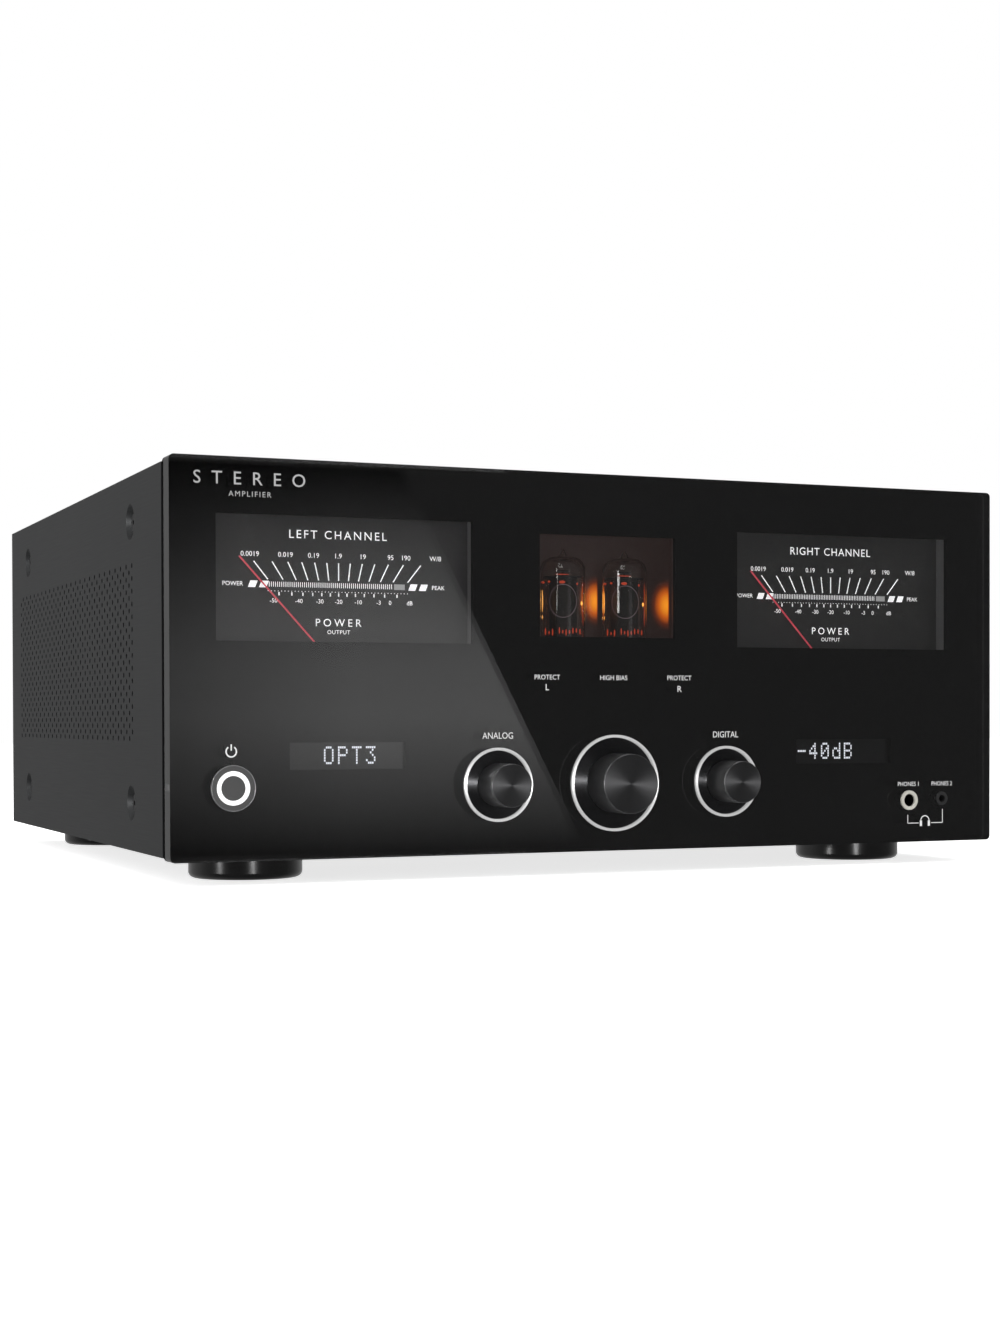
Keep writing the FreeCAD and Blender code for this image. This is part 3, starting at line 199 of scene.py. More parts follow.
def makeTurned(name, low, high, rough, centres, metallic=0.75, aniso=0.6, grooveMm=0.25):
    # turned and anodised: concentric tool marks round each centre, and a sheen in rays across a face;
    # real tool marks are near 0.1 mm apart, and these are drawn coarser so that they show
    material, tree, shader = startMaterial(name, Metallic=metallic, Anisotropic=aniso, Roughness=rough)
    place = objectPlace(tree)
    rings = None
    for x, height in centres:
        centre = onFront(x, height)
        mapping = addNode(tree, "ShaderNodeMapping", {
            "Location": (-centre.x, 0, -centre.z), "Scale": (1, 0, 1)}, {"Vector": place})
        value = addNode(tree, "ShaderNodeVectorMath", links={0: mapping.outputs["Vector"]},
                        operation="LENGTH").outputs["Value"]
        if rings is not None:
            value = addNode(tree, "ShaderNodeMath", links={0: rings, 1: value}, operation="MINIMUM").outputs[0]
        rings = value
    wave = addNode(tree, "ShaderNodeMath", {1: 2 * math.pi / (grooveMm * mm)}, {0: rings}, operation="MULTIPLY")
    groove = addNode(tree, "ShaderNodeMath", links={0: wave.outputs[0]}, operation="SINE").outputs[0]
    tree.links.new(addRamp(tree, groove, [(0.0, hexColor(low)), (1.0, hexColor(high))]),
                   shader.inputs["Base Color"])
    # the tool ran round the nearest centre, so the sheen spreads outwards from it
    parts = addNode(tree, "ShaderNodeSeparateXYZ", links={"Vector": place})
    if len(centres) > 1:
        half = max(x for x, height in centres) * mm / 2
        across = addNode(tree, "ShaderNodeMath", {1: half, 2: -half}, {0: parts.outputs["X"]}, operation="WRAP")
    else:
        across = addNode(tree, "ShaderNodeMath", {1: centres[0][0] * mm}, {0: parts.outputs["X"]},
                         operation="SUBTRACT")
    up = addNode(tree, "ShaderNodeMath", {1: onFront(0, centres[0][1]).z}, {0: parts.outputs["Z"]},
                 operation="SUBTRACT")
    outward = addNode(tree, "ShaderNodeCombineXYZ", links={"X": across.outputs[0], "Z": up.outputs[0]})
    tangent = addNode(tree, "ShaderNodeVectorMath", links={0: outward.outputs["Vector"]}, operation="NORMALIZE")
    tree.links.new(tangent.outputs["Vector"], shader.inputs["Tangent"])
    addBump(tree, shader, groove, 0.35, 0.00002)
    return material


def splitAtFront(material, dark, depthMm):
    # past the panel's face the same piece is blackened, so that nothing bright shows inside the clear panel
    tree = material.node_tree
    shader = tree.nodes["Principled BSDF"]
    parts = addNode(tree, "ShaderNodeSeparateXYZ", links={"Vector": objectPlace(tree)})
    inside = addNode(tree, "ShaderNodeMath", {1: frontY + depthMm * mm}, {0: parts.outputs["Y"]},
                     operation="GREATER_THAN")
    base = shader.inputs["Base Color"]
    mix = addNode(tree, "ShaderNodeMix", {"B": hexColor(dark)},
                  {"Factor": inside.outputs[0], "A": base.links[0].from_socket}, data_type="RGBA")
    tree.links.new(mix.outputs["Result"], base)
    return material


def makeTubeGlass():
    # blown soda glass: clear; the real glass is a trace warmer where its wall is thick, and here the warm trace
    # wanders at random
    material, tree, shader = startMaterial("blownTubeGlass", Roughness=0.02, IOR=1.45, Transmission_Weight=1.0)
    tint = addRamp(tree, speckle(tree, objectPlace(tree), 9.0),
                   [(0.3, hexColor("#f6f2ee")), (0.7, hexColor("#fbf9f6"))])
    tree.links.new(tint, shader.inputs["Base Color"])
    return material


bayGlow = {
    # across, up, half width and half height of each painted pool of heater light
    "spots": [(6.6, 120.6, 8.5, 13.0), (46.0, 119.4, 10.0, 13.5)],
    "shadowEdgeStart": 0.5,  # painted shadow: each pool of light is cut off sharply just right of its middle
    "shadowEdgeWide": 0.9,
    "paintedGlowColors": [(0.0, "#1d1210"), (0.2, "#5a2208"), (0.55, "#c85a08"), (1.0, "#ff9c1e")],
    "strength": 1.0,
}


def makeBay():
    # reflector behind the tubes in dark paint; the warm pools of heater light on it are painted light, drawn
    # into its emission
    material, tree, shader = startMaterial("bayReflectorPaintedGlow", Roughness=0.45,
                                           Emission_Strength=bayGlow["strength"])
    place = objectPlace(tree)
    paintColor = addRamp(tree, speckle(tree, place, 1.0),
                         [(0.3, hexColor("#1a1210")), (0.7, hexColor("#221815"))])
    tree.links.new(paintColor, shader.inputs["Base Color"])
    parts = addNode(tree, "ShaderNodeSeparateXYZ", links={"Vector": place})
    total = None
    for x, height, wide, tall in bayGlow["spots"]:
        centre = onFront(x, height)
        mapping = addNode(tree, "ShaderNodeMapping", {
            "Location": (-centre.x / (wide * mm), 0, -centre.z / (tall * mm)),
            "Scale": (1 / (wide * mm), 0, 1 / (tall * mm))}, {"Vector": place})
        away = addNode(tree, "ShaderNodeVectorMath", links={0: mapping.outputs["Vector"]}, operation="LENGTH")
        near = addNode(tree, "ShaderNodeMapRange", {"From Min": 1.0, "From Max": 0.0},
                       {"Value": away.outputs["Value"]}, interpolation_type="SMOOTHSTEP")
        # the painted shadow edge, where each pool of heater light stops
        shadowEdge = centre.x + bayGlow["shadowEdgeStart"] * mm
        lit = addNode(tree, "ShaderNodeMapRange", {
            "From Min": shadowEdge, "From Max": shadowEdge + bayGlow["shadowEdgeWide"] * mm, "To Min": 1.0, "To Max": 0.0},
            {"Value": parts.outputs["X"]})
        patch = addNode(tree, "ShaderNodeMath", links={0: near.outputs["Result"], 1: lit.outputs["Result"]},
                        operation="MULTIPLY").outputs[0]
        if total is not None:
            patch = addNode(tree, "ShaderNodeMath", links={0: total, 1: patch}, operation="ADD").outputs[0]
        total = patch
    tree.links.new(addRamp(tree, total, [(level, hexColor(color)) for level, color in bayGlow["paintedGlowColors"]]),
                   shader.inputs["Emission Color"])
    return material


finish = {
    "acrylic": makeClearAcrylic(),
    "ink": makeBlackPrint(),
    "sidePanel": makeBrushedAnodised("brushedAnodisedAluminium", "#1e1f20", "#2b2c2d"),
    "plate": makeBrushedAnodised("blackAnodisedPlate", "#0c0c0d", "#161617", along="X"),
    "coated": makeGrained("satinPowderCoat", "#131314", "#1a1a1b", 0.5, grainMm=0.6),
    "zinc": makeGrained("zincPlatedSteel", "#8d9094", "#a9acaf", 0.35, metallic=1.0),
    "rail": makeBrushedAnodised("milledAluminium", "#8c8e90", "#a5a7a9"),
    "screw": makeGrained("blackOxideSteel", "#1b1b1c", "#2a2a2c", 0.3, metallic=0.8),
    "foot": makeGrained("glossPolycarbonate", "#050505", "#0a0a0a", 0.14, coat=0.6, bump=0.05,
                        roughSpan=0.03),
    "shaft": makeGrained("brightSteel", "#b8babc", "#cfd1d2", 0.22, metallic=1.0),
    "blackPlastic": makeGrained("mouldedNylon", "#0d0d0e", "#151516", 0.45),
    "lens": makeGlow("opalLens", "#ffffff", 0.9, base="#a0a0a0"),
    "dial": makeGlow("dialEnamel", "#191919", 0.7, base="#0b0b0b"),
    "dialPrint": makeGlow("dialPrint", "#f4f4f4", 0.95, base="#dddddd"),
    "dialGrey": makeGlow("dialGreyPrint", "#8c8c8c", 0.9, base="#777777"),
    # the needle and the meter's inner walls glow: painted light, standing in for the light that falls on them
    "needle": makeGlow("redLacquer", "#a23c4a", 0.9, base="#b02030"),
    "casing": makeGlow("meterCasing", "#303030", 0.9, base="#3a3a3a"),
    "displayGlass": makeGrained("smokedDisplayGlass", "#08080a", "#0b0b0d", 0.12, bump=0.02),
    "displayDot": makeGlow("displayDot", "#f2f6ff", 1.1),
    # front print, with a painted glow of the light that falls on it
    "label": makeOneSidedInk("frontInk", "#bcbcbc", "#b2b2b2"),
    "title": makeOneSidedInk("greyFrontInk", "#8a8a8a", "#808080"),
    "ceramic": makeGrained("glazedCeramic", "#cfc8ba", "#ddd7ca", 0.25),
    "anode": makeGrained("carbonisedNickel", "#1d1a19", "#2b2624", 0.45, metallic=0.8),
    "winding": makeGrained("windingFilm", "#6b4318", "#8a5a22", 0.3, coat=0.5),
    "canister": makeGrained("capacitorSleeve", "#10131c", "#181d2a", 0.3),
    "board": makeGrained("solderMask", "#0c2f18", "#12401f", 0.4),
    "gold": makeGrained("goldPlate", "#b98b3a", "#d0a552", 0.22, metallic=1.0),
    "redPlastic": makeGrained("redPolycarbonate", "#8c0f12", "#a5171a", 0.25, coat=0.4),
    "smokePlastic": makeGrained("blackPolycarbonate", "#0c0c0d", "#121213", 0.25, coat=0.4),
    "bezel": makeGrained("softTouchPlastic", "#141415", "#1b1b1c", 0.5),
    "bay": makeBay(),
    "tubeGlass": makeTubeGlass(),
    "whiteInk": makeGrained("rearInk", "#c8c8c8", "#d6d6d6", 0.6),
}
print("materials made:", len(finish))


def paint(node, material):
    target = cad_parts[node]
    for slot in target.material_slots:
        slot.material = material
    if not target.material_slots:
        target.data.materials.append(material)


coats = {
    "ink": ["backing_plate"],
    "sidePanel": ["left_side_panel", "right_side_panel"],
    "plate": ["front_bulkhead", "heatsinks"],
    "coated": ["rear_panel", "top_cover", "chassis_tray"],
    "rail": ["upper_rails"],
    "screw": ["side_panel_screws", "case_screws", "foot_screws"],
    "foot": ["feet"],
    "shaft": ["volume_shaft", "analog_shaft", "digital_shaft", "meter_movements"],
    "zinc": ["encoders", "transformer_clamp", "power_switch"],
    "blackPlastic": ["power_transistors", "mains_inlet", "mains_rocker", "speaker_bases", "optical_sockets",
                     "phono_inserts", "indicator_leds"],
    "lens": ["power_light_ring"],
    "dial": ["meter_dials"],
    "needle": ["left_needle", "right_needle"],
    "casing": ["meter_cases"],
    "displayGlass": ["display_modules"],
    "ceramic": ["tube_sockets"],
    "anode": ["tube_electrodes"],
    "winding": ["toroidal_transformer"],
    "canister": ["power_capacitors"],
    "board": ["circuit_boards"],
    "gold": ["speaker_posts", "phono_shells", "left_minus_collar", "left_plus_collar", "right_minus_collar",
             "right_plus_collar"],
    "redPlastic": ["left_plus_cap", "right_plus_cap"],
    "smokePlastic": ["left_minus_cap", "right_minus_cap"],
    "bezel": ["power_bezel", "power_button"],
    "bay": ["tube_bay"],
    "tubeGlass": ["tube_envelopes"],
}
for key, nodes in coats.items():
    for node in nodes:
        paint(node, finish[key])


# knobs: turned and black anodised, with fine rings on the face
knobs = {
    "height": 32.2,
    # across, radius of the cap, reach ahead of the panel
    "caps": {"volume": (0, 14.1, 17.9), "analog": (-60.15, 10.1, 16.9), "digital": (60.15, 10.1, 16.9)},
    # strength of the white glow that paints a highlight onto the polished rings
    "paintedRingShine": 0.35,
    "blackFrom": 0.4,  # mm behind the panel's face
}
knobCentres = [(x, knobs["height"]) for x, radius, reach in knobs["caps"].values()]
for name, centre in zip(knobs["caps"], knobCentres):
    paint(name + "_knob", makeTurned(name + "TurnedAluminium", "#2e2e2f", "#404041", 0.5, [centre], aniso=0.85))
paint("knob_dishes", makeTurned("turnedDish", "#1c1c1d", "#424244", 0.27, knobCentres, aniso=1.0, grooveMm=0.5))
ringMetal = makeTurned("polishedRing", "#dcdcdc", "#f4f4f4", 0.22, knobCentres, metallic=0.9, grooveMm=0.2)
ringShader = ringMetal.node_tree.nodes["Principled BSDF"]
# the polished rings also glow white: a painted highlight over their real metal sheen
ringShader.inputs["Emission Color"].default_value = hexColor("#ffffff")
ringShader.inputs["Emission Strength"].default_value = knobs["paintedRingShine"]
paint("knob_rings", splitAtFront(ringMetal, "#0a0a0a", knobs["blackFrom"]))
jackMetal = makeGrained("nickelPlatedBrass", "#c4c2b8", "#d6d4cb", 0.35, metallic=0.35)
paint("large_phones_jack", splitAtFront(jackMetal, "#070707", knobs["blackFrom"]))
paint("small_phones_jack", finish["bezel"])


def finishPiece(name, mesh, material, body="amplifier", smooth=None):
    mesh.materials.clear()
    for entry in material if isinstance(material, list) else [material]:
        mesh.materials.append(entry)
    if smooth is not None:
        mesh.shade_smooth()
        mesh.set_sharp_from_angle(angle=math.radians(smooth))
    piece = bpy.data.objects.new(name, mesh)
    bpy.context.scene.collection.objects.link(piece)
    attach(piece, body)
    return piece


def meshFrom(bm, name):
    mesh = bpy.data.meshes.new(name)
    bm.to_mesh(mesh)
    bm.free()
    return mesh


# the clear front: the CAD panel's shape, stopping a hair short of the printed plate
glass = {"backGap": 0.05, "nearMm": 0.2, "mergeMm": 0.002, "outerMm": 3, "sideRimMm": 4, "lowRimMm": 3}
bm = bmesh.new()
bm.from_mesh(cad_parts["front_panel"].data)
bmesh.ops.remove_doubles(bm, verts=bm.verts, dist=glass["mergeMm"] * mm)
for vert in bm.verts:
    if vert.co.y > plateFront - glass["nearMm"] * mm:
        vert.co.y = plateFront - glass["backGap"] * mm
for face in bm.faces:
    outside = max(abs(v.co.x) for v in face.verts) > panelHigh[0] - glass["outerMm"] * mm
    edge = abs(face.normal.y) < 0.5 and (outside or abs(face.normal.z) > 0.99)
    middle = face.calc_center_median()
    onRim = (abs(middle.x) > panelHigh[0] - glass["sideRimMm"] * mm
             or middle.z > panelHigh[2] - glass["lowRimMm"] * mm or middle.z < bottomZ + glass["lowRimMm"] * mm)
    face.material_index = 1 if edge and onRim else 0
edgeFinish = makeGrained("sawnAcrylicEdge", "#848587", "#8e8f91", 0.45, grainMm=0.5)
clearFront = finishPiece("clearFront", meshFrom(bm, "clearFront"), [finish["acrylic"], edgeFinish], smooth=25)
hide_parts("front_panel")
print("clear front made")


# polished rims: a thin round bead on each knob's edge and round the power key
bead = {
    "around": 96,
    "section": 8,
    "knobThick": 0.12,
    "knobInset": 0.32,
    "power": (-186.7, 32.4, -0.85, 10.05, 0.14),  # across, up, depth, radius, thickness
}


def addBead(bm, x, height, depth, radius, thick):
    centre = onFront(x, height, depth)
    loops = []
    for i in range(bead["around"]):
        turn = 2 * math.pi * i / bead["around"]
        loop = []
        for k in range(bead["section"]):
            lean = 2 * math.pi * k / bead["section"]
            reach = (radius + thick * math.cos(lean)) * mm
            loop.append(bm.verts.new(centre + Vector((reach * math.cos(turn), thick * mm * math.sin(lean),
                                                      reach * math.sin(turn)))))
        loops.append(loop)
    for here, there in zip(loops, loops[1:] + loops[:1]):
        for k in range(bead["section"]):
            j = (k + 1) % bead["section"]
            bm.faces.new((here[k], here[j], there[j], there[k]))
    bmesh.ops.recalc_face_normals(bm, faces=bm.faces)


rimFinish = makeGrained("polishedRim", "#8a8a8c", "#a0a0a2", 0.2, metallic=0.6, bump=0.02)
for name, (x, radius, reach) in knobs["caps"].items():
    bm = bmesh.new()
    addBead(bm, x, knobs["height"], bead["knobInset"] - reach, radius - bead["knobInset"], bead["knobThick"])
    rimMesh = meshFrom(bm, name + "KnobRim")
    rim = finishPiece(name + "KnobRim", rimMesh, rimFinish, name + "_control", smooth=180)
bm = bmesh.new()
addBead(bm, *bead["power"])
bezelRim = finishPiece("powerBezelRim", meshFrom(bm, "powerBezelRim"), rimFinish, smooth=180)
print("polished rims made")


def fontMesh(text, spacing=1.0):
    curve = bpy.data.curves.new("lettering", "FONT")
    curve.body = text
    curve.resolution_u = 3
    curve.space_character = spacing
    holder = bpy.data.objects.new("lettering", curve)
    bpy.context.scene.collection.objects.link(holder)
    mesh = bpy.data.meshes.new_from_object(holder.evaluated_get(bpy.context.evaluated_depsgraph_get()))
    bpy.data.objects.remove(holder)
    bpy.data.curves.remove(curve)
    return mesh


def spread(mesh):
    across = [v.co.x for v in mesh.vertices]
    up = [v.co.y for v in mesh.vertices]
    return min(across), max(across), min(up), max(up)


capitalHeight = spread(fontMesh("H"))[3]
behindDepth = 100  # marks deeper than this face the rear


def addText(bm, text, x, height, cap, wide, depth):
    # centred across x, its baseline at height; a stated width is met by spacing the letters out
    tall = cap * mm / capitalHeight
    mesh = fontMesh(text)
    left, right, low, high = spread(mesh)
    if wide and wide * mm / tall > right - left:
        loose = fontMesh(text, 2.0)
        looseLeft, looseRight, low, high = spread(loose)
        spacing = 1.0 + (wide * mm / tall - (right - left)) / ((looseRight - looseLeft) - (right - left))
        bpy.data.meshes.remove(loose)
        bpy.data.meshes.remove(mesh)
        mesh = fontMesh(text, spacing)
        left, right, low, high = spread(mesh)
    across = wide * mm / (right - left) if wide else tall
    behind = depth > behindDepth
    centre = onFront(x, height, depth)
    for vert in mesh.vertices:
        step = (vert.co.x - (left + right) / 2) * across
        vert.co = centre + Vector((-step if behind else step, 0, vert.co.y * tall))
    bm.from_mesh(mesh)
    bpy.data.meshes.remove(mesh)


def addPatch(bm, corners, depth):
    verts = [bm.verts.new(onFront(x, height, depth)) for x, height in corners]
    face = bm.faces.new(verts)
    face.normal_update()
    if (face.normal.y > 0) != (depth > behindDepth):
        face.normal_flip()


def addBar(bm, left, right, low, high, depth):
    addPatch(bm, [(left, low), (right, low), (right, high), (left, high)], depth)


def addStroke(bm, points, width, depth):
    for (x0, h0), (x1, h1) in zip(points, points[1:]):
        side = Vector((h0 - h1, x1 - x0)).normalized() * width / 2
        addPatch(bm, [(x0 + side.x, h0 + side.y), (x1 + side.x, h1 + side.y),
                      (x1 - side.x, h1 - side.y), (x0 - side.x, h0 - side.y)], depth)


def arcPoints(x, height, radius, start, end, count=24):
    angles = [math.radians(start + (end - start) * i / count) for i in range(count + 1)]
    return [(x + radius * math.cos(a), height + radius * math.sin(a)) for a in angles]


frontMarks = {
    "depth": -0.02,
    # text, across, height of its middle, capital height, width
    "words": [("ANALOG", -60.2, 55.0, 2.9, 15.4), ("DIGITAL", 60.1, 55.0, 2.9, 13.9),
              ("PROTECT", -34.9, 82.3, 2.2, 13.0), ("L", -34.9, 77.6, 2.9, None),
              ("HIGH BIAS", -0.3, 82.2, 2.2, 14.3), ("PROTECT", 34.8, 82.3, 2.2, 13.0),
              ("R", 34.9, 77.0, 2.9, None), ("PHONES 1", 165.3, 29.4, 2.1, 12.4),
              ("PHONES 2", 185.5, 29.4, 2.1, 12.4)],
    "title": [("STEREO", -178.5, 169.0, 5.6, 51.0), ("AMPLIFIER", -178.5, 162.15, 2.3, 19.5)],
    "powerArc": (-187.5, 48.6, 2.35, 125, 415),
    "powerArcWide": 0.65,
    "powerBar": (-187.82, -187.18, 49.0, 51.8),
    "brackets": [[(165, 13.75), (165, 9.5), (171.5, 9.5)], [(179, 9.5), (185.9, 9.5), (185.9, 16.4)]],
    "bracketWide": 0.35,
    "headband": (175.3, 10.6, 2.5, -10, 190),
    "headbandWide": 0.5,
    "earPads": [(172.25, 173.55, 7.9, 10.7), (177.05, 178.35, 7.9, 10.7)],
}
bm = bmesh.new()
for text, x, height, cap, wide in frontMarks["words"]:
    addText(bm, text, x, height - cap / 2, cap, wide, frontMarks["depth"])
addStroke(bm, arcPoints(*frontMarks["powerArc"]), frontMarks["powerArcWide"], frontMarks["depth"])
addBar(bm, *frontMarks["powerBar"], frontMarks["depth"])
# bracket that joins the two jacks, with a headphone sign in its middle
for points in frontMarks["brackets"]:
    addStroke(bm, points, frontMarks["bracketWide"], frontMarks["depth"])
addStroke(bm, arcPoints(*frontMarks["headband"]), frontMarks["headbandWide"], frontMarks["depth"])
for pad in frontMarks["earPads"]:
    addBar(bm, *pad, frontMarks["depth"])
frontLettering = finishPiece("frontLettering", meshFrom(bm, "frontLettering"), finish["label"])

bm = bmesh.new()
for text, x, height, cap, wide in frontMarks["title"]:
    addText(bm, text, x, height - cap / 2, cap, wide, frontMarks["depth"])
titleLettering = finishPiece("titleLettering", meshFrom(bm, "titleLettering"), finish["title"])
print("front lettering made")

# dial printing: both meters have the same scale
dialMarks = {
    "offset": 131.2,
    "pivotHeight": 84.6,
    "ticks": [-39 + 6.5 * i for i in range(13)],
    "tickWide": 0.55,
    "tickSpan": (126.2, 134.3),
    "lowMarkWide": 0.6,
    "lowMarkSpan": (119.0, 120.5),
    "lowMarkFan": 119.7,
    "watts": {0: "0.0019", 2: "0.019", 4: "0.19", 6: "1.9", 8: "19", 10: "95", 11: "190"},
    "wattHeight": 136.5,
    "wattCap": 2.2,
    "decibels": [("-50", -31), ("-40", -19), ("-30", -9), ("-20", 0), ("-10", 9.5), ("-3", 19.4), ("0", 25),
                 ("dB", 34.7)],
    "decibelHeight": 115.7,
    "smallCap": 1.9,
    # text, across from the dial's middle, height of its foot, capital height, width
    "words": [("POWER", -50, 123.1, 1.9, None), ("PEAK", 49, 123.1, 1.9, None), ("W/8", 47.5, 136.5, 2.2, None),
              ("POWER", 0, 105.3, 3.4, 22), ("OUTPUT", 0, 101.8, 1.8, 11)],
    "slabStarts": (-43, -37.8, 34, 39.2),
    "slab": ((0, 122.5), (3.4, 122.5), (4.6, 125.5), (1.2, 125.5)),
    "greySlab": (27, 32.3, 122.7, 125.3),
}
dialDepth = (dialFront - frontY) / mm - 0.05  # the print stands this little in front of the dial


def spoke(centre, angle, height):
    return centre + math.tan(math.radians(angle)) * (height - dialMarks["pivotHeight"])


bm = bmesh.new()
shade = bmesh.new()
for centre, title in ((-dialMarks["offset"], "LEFT CHANNEL"), (dialMarks["offset"], "RIGHT CHANNEL")):
    addText(bm, title, centre, 145.25, 3.7, 47, dialDepth)
    for index, text in dialMarks["watts"].items():
        x = spoke(centre, dialMarks["ticks"][index], dialMarks["wattHeight"])
        addText(bm, text, x, dialMarks["wattHeight"], dialMarks["wattCap"], None, dialDepth)
    for text, x in dialMarks["decibels"]:
        addText(bm, text, centre + x, dialMarks["decibelHeight"], dialMarks["smallCap"], None, dialDepth)
    for text, x, height, cap, wide in dialMarks["words"]:
        addText(bm, text, centre + x, height, cap, wide, dialDepth)
    for angle in dialMarks["ticks"]:
        low, high = dialMarks["tickSpan"]
        addStroke(bm, [(spoke(centre, angle, low), low), (spoke(centre, angle, high), high)],
                  dialMarks["tickWide"], dialDepth)
        x = spoke(centre, angle, dialMarks["lowMarkFan"])
        half = dialMarks["lowMarkWide"] / 2
        addBar(bm, x - half, x + half, *dialMarks["lowMarkSpan"], dialDepth)
    for start in dialMarks["slabStarts"]:
        addPatch(bm, [(centre + start + x, height) for x, height in dialMarks["slab"]], dialDepth)
    left, right, low, high = dialMarks["greySlab"]
    addBar(shade, centre + left, centre + right, low, high, dialDepth)
dialPrint = finishPiece("dialPrint", meshFrom(bm, "dialPrint"), finish["dialPrint"])
dialShade = finishPiece("dialShade", meshFrom(shade, "dialShade"), finish["dialGrey"])
print("dial printing made")


# marks that repeat: one small plate stands on each point
def makePlateTree(name, material):
    tree = bpy.data.node_groups.new(name, "GeometryNodeTree")
    ids = {}
    for label, kind in (("Geometry", "Geometry"), ("Width", "Float"), ("Height", "Float")):
        socket = tree.interface.new_socket(label, in_out="INPUT", socket_type="NodeSocket" + kind)
        ids[label] = socket.identifier
    tree.interface.new_socket("Geometry", in_out="OUTPUT", socket_type="NodeSocketGeometry")
    given = addNode(tree, "NodeGroupInput")
    result = addNode(tree, "NodeGroupOutput")
    plateMesh = addNode(tree, "GeometryNodeMeshGrid", {"Vertices X": 2, "Vertices Y": 2},
                        {"Size X": given.outputs["Width"], "Size Y": given.outputs["Height"]})
    upright = addNode(tree, "GeometryNodeTransform", {"Rotation": (math.pi / 2, 0, 0)},
                      {"Geometry": plateMesh.outputs["Mesh"]})
    placed = addNode(tree, "GeometryNodeInstanceOnPoints", links={
        "Points": given.outputs["Geometry"], "Instance": upright.outputs["Geometry"]})
    real = addNode(tree, "GeometryNodeRealizeInstances", links={"Geometry": placed.outputs["Instances"]})
    coated = addNode(tree, "GeometryNodeSetMaterial", {"Material": material},
                     {"Geometry": real.outputs["Geometry"]})
    tree.links.new(coated.outputs["Geometry"], result.inputs["Geometry"])
    return tree, ids


def scatterPlates(name, points, width, height, material, slot):
    tree, ids = makePlateTree(name + "Tree", material)
    cloud = bpy.data.meshes.new(name + "Points")
    cloud.from_pydata(points, [], [])
    holder = bpy.data.objects.new(name + "Points", cloud)
    bpy.context.scene.collection.objects.link(holder)
    modifier = holder.modifiers.new("plates", "NODES")
    modifier.node_group = tree
    modifier[ids["Width"]] = width * mm
    modifier[ids["Height"]] = height * mm
    mesh = bpy.data.meshes.new_from_object(holder.evaluated_get(bpy.context.evaluated_depsgraph_get()))
    bpy.data.objects.remove(holder)
    piece = finishPiece(name, mesh, material)
    return piece


# displays: the dots of each character on a five by seven grid
display = {
    "pitchAcross": 0.95,
    "pitchUp": 1.18,
    "letterPitch": 6.7,
    "dot": (0.72, 0.92),
    "low": 42.3,
    "words": [("OPT3", -142.0), ("-40dB", 105.6)],
    "letters": {
        "O": "01110 10001 10001 10001 10001 10001 01110", "P": "11110 10001 10001 11110 10000 10000 10000",
        "T": "11111 00100 00100 00100 00100 00100 00100", "3": "11111 00010 00100 00010 00001 10001 01110",
        "-": "00000 00000 00000 11111 00000 00000 00000", "4": "00010 00110 01010 10010 11111 00010 00010",
        "0": "01110 10001 10011 10101 11001 10001 01110", "d": "00001 00001 01101 10011 10001 10001 01111",
        "B": "11110 10001 10001 11110 10001 10001 11110"},
}
displayDepth = (displayFront - frontY) / mm - 0.04
lit = []
for word, left in display["words"]:
    for position, letter in enumerate(word):
        for row, cells in enumerate(display["letters"][letter].split()):
            for column, cell in enumerate(cells):
                if cell == "1":
                    x = left + position * display["letterPitch"] + (column + 0.5) * display["pitchAcross"]
                    lit.append(onFront(x, display["low"] + (6.5 - row) * display["pitchUp"], displayDepth))
scatterPlates("displayDots", lit, *display["dot"], finish["displayDot"], "light_plastic")

fineTicks = {"start": -33.0, "end": 26.6, "step": 0.98, "height": 124.05, "tall": 2.3, "wide": 0.3}
points = []
for centre in (-dialMarks["offset"], dialMarks["offset"]):
    count = int((fineTicks["end"] - fineTicks["start"]) / fineTicks["step"])
    points += [onFront(centre + fineTicks["start"] + i * fineTicks["step"], fineTicks["height"], dialDepth)
               for i in range(count + 1)]
scatterPlates("dialFineTicks", points, fineTicks["wide"], fineTicks["tall"], finish["dialPrint"], "dial_card")

dotRow = {"height": 121.0, "step": 1.6, "half": 33.6, "size": 0.35}
points = []
for centre in (-dialMarks["offset"], dialMarks["offset"]):
    count = int(2 * dotRow["half"] / dotRow["step"])
    points += [onFront(centre - dotRow["half"] + i * dotRow["step"], dotRow["height"], dialDepth)
               for i in range(count + 1)]
scatterPlates("dialDots", points, dotRow["size"], dotRow["size"], finish["dialPrint"], "dial_card")
print("repeated marks made")


# what glows in the tubes: the heaters' own glow, and painted glints of that light on the glass rims and
# electrode edges
tubes = {
    "offset": 16.5,
    "depth": 26.0,
    "radius": 10.8,
    "glintHeading": -25.8,  # degrees: the painted glints sit on the sides of the tubes that face this way
    "markTurn": -24.0,
    "markSize": 7.0,
    "markHeight": 119.0,
    "markStretch": 1.15,
    "markInner": 0.95,
    "markGap": 0.05,
    "markSteps": 48,
    "glow": {"amberGlow": ("heaterLight", "#ffb050", 2.2), "redGlow": ("mutedHeaterLight", "#b43a1c", 1.1)},
}
# along the tube's width, out from its axis, height, half sizes across and up
heaterGlowAndGlints = {
    "amberGlow": [(-10.0, 0.5, 119.5, 0.4, 5.6), (9.0, 0.5, 118.3, 0.5, 1.0), (-9.9, 0.8, 111.8, 0.3, 1.0)],
    "redGlow": [(-9.3, 2.2, 128.4, 0.7, 0.6), (-6.3, 7.0, 128.4, 0.6, 0.5), (-0.2, 7.0, 128.2, 1.6, 0.7),
                (-0.2, 5.0, 132.0, 3.8, 0.2), (9.7, 0.0, 118.0, 0.22, 11.0), (6.8, 5.0, 127.4, 0.4, 0.6)],
}
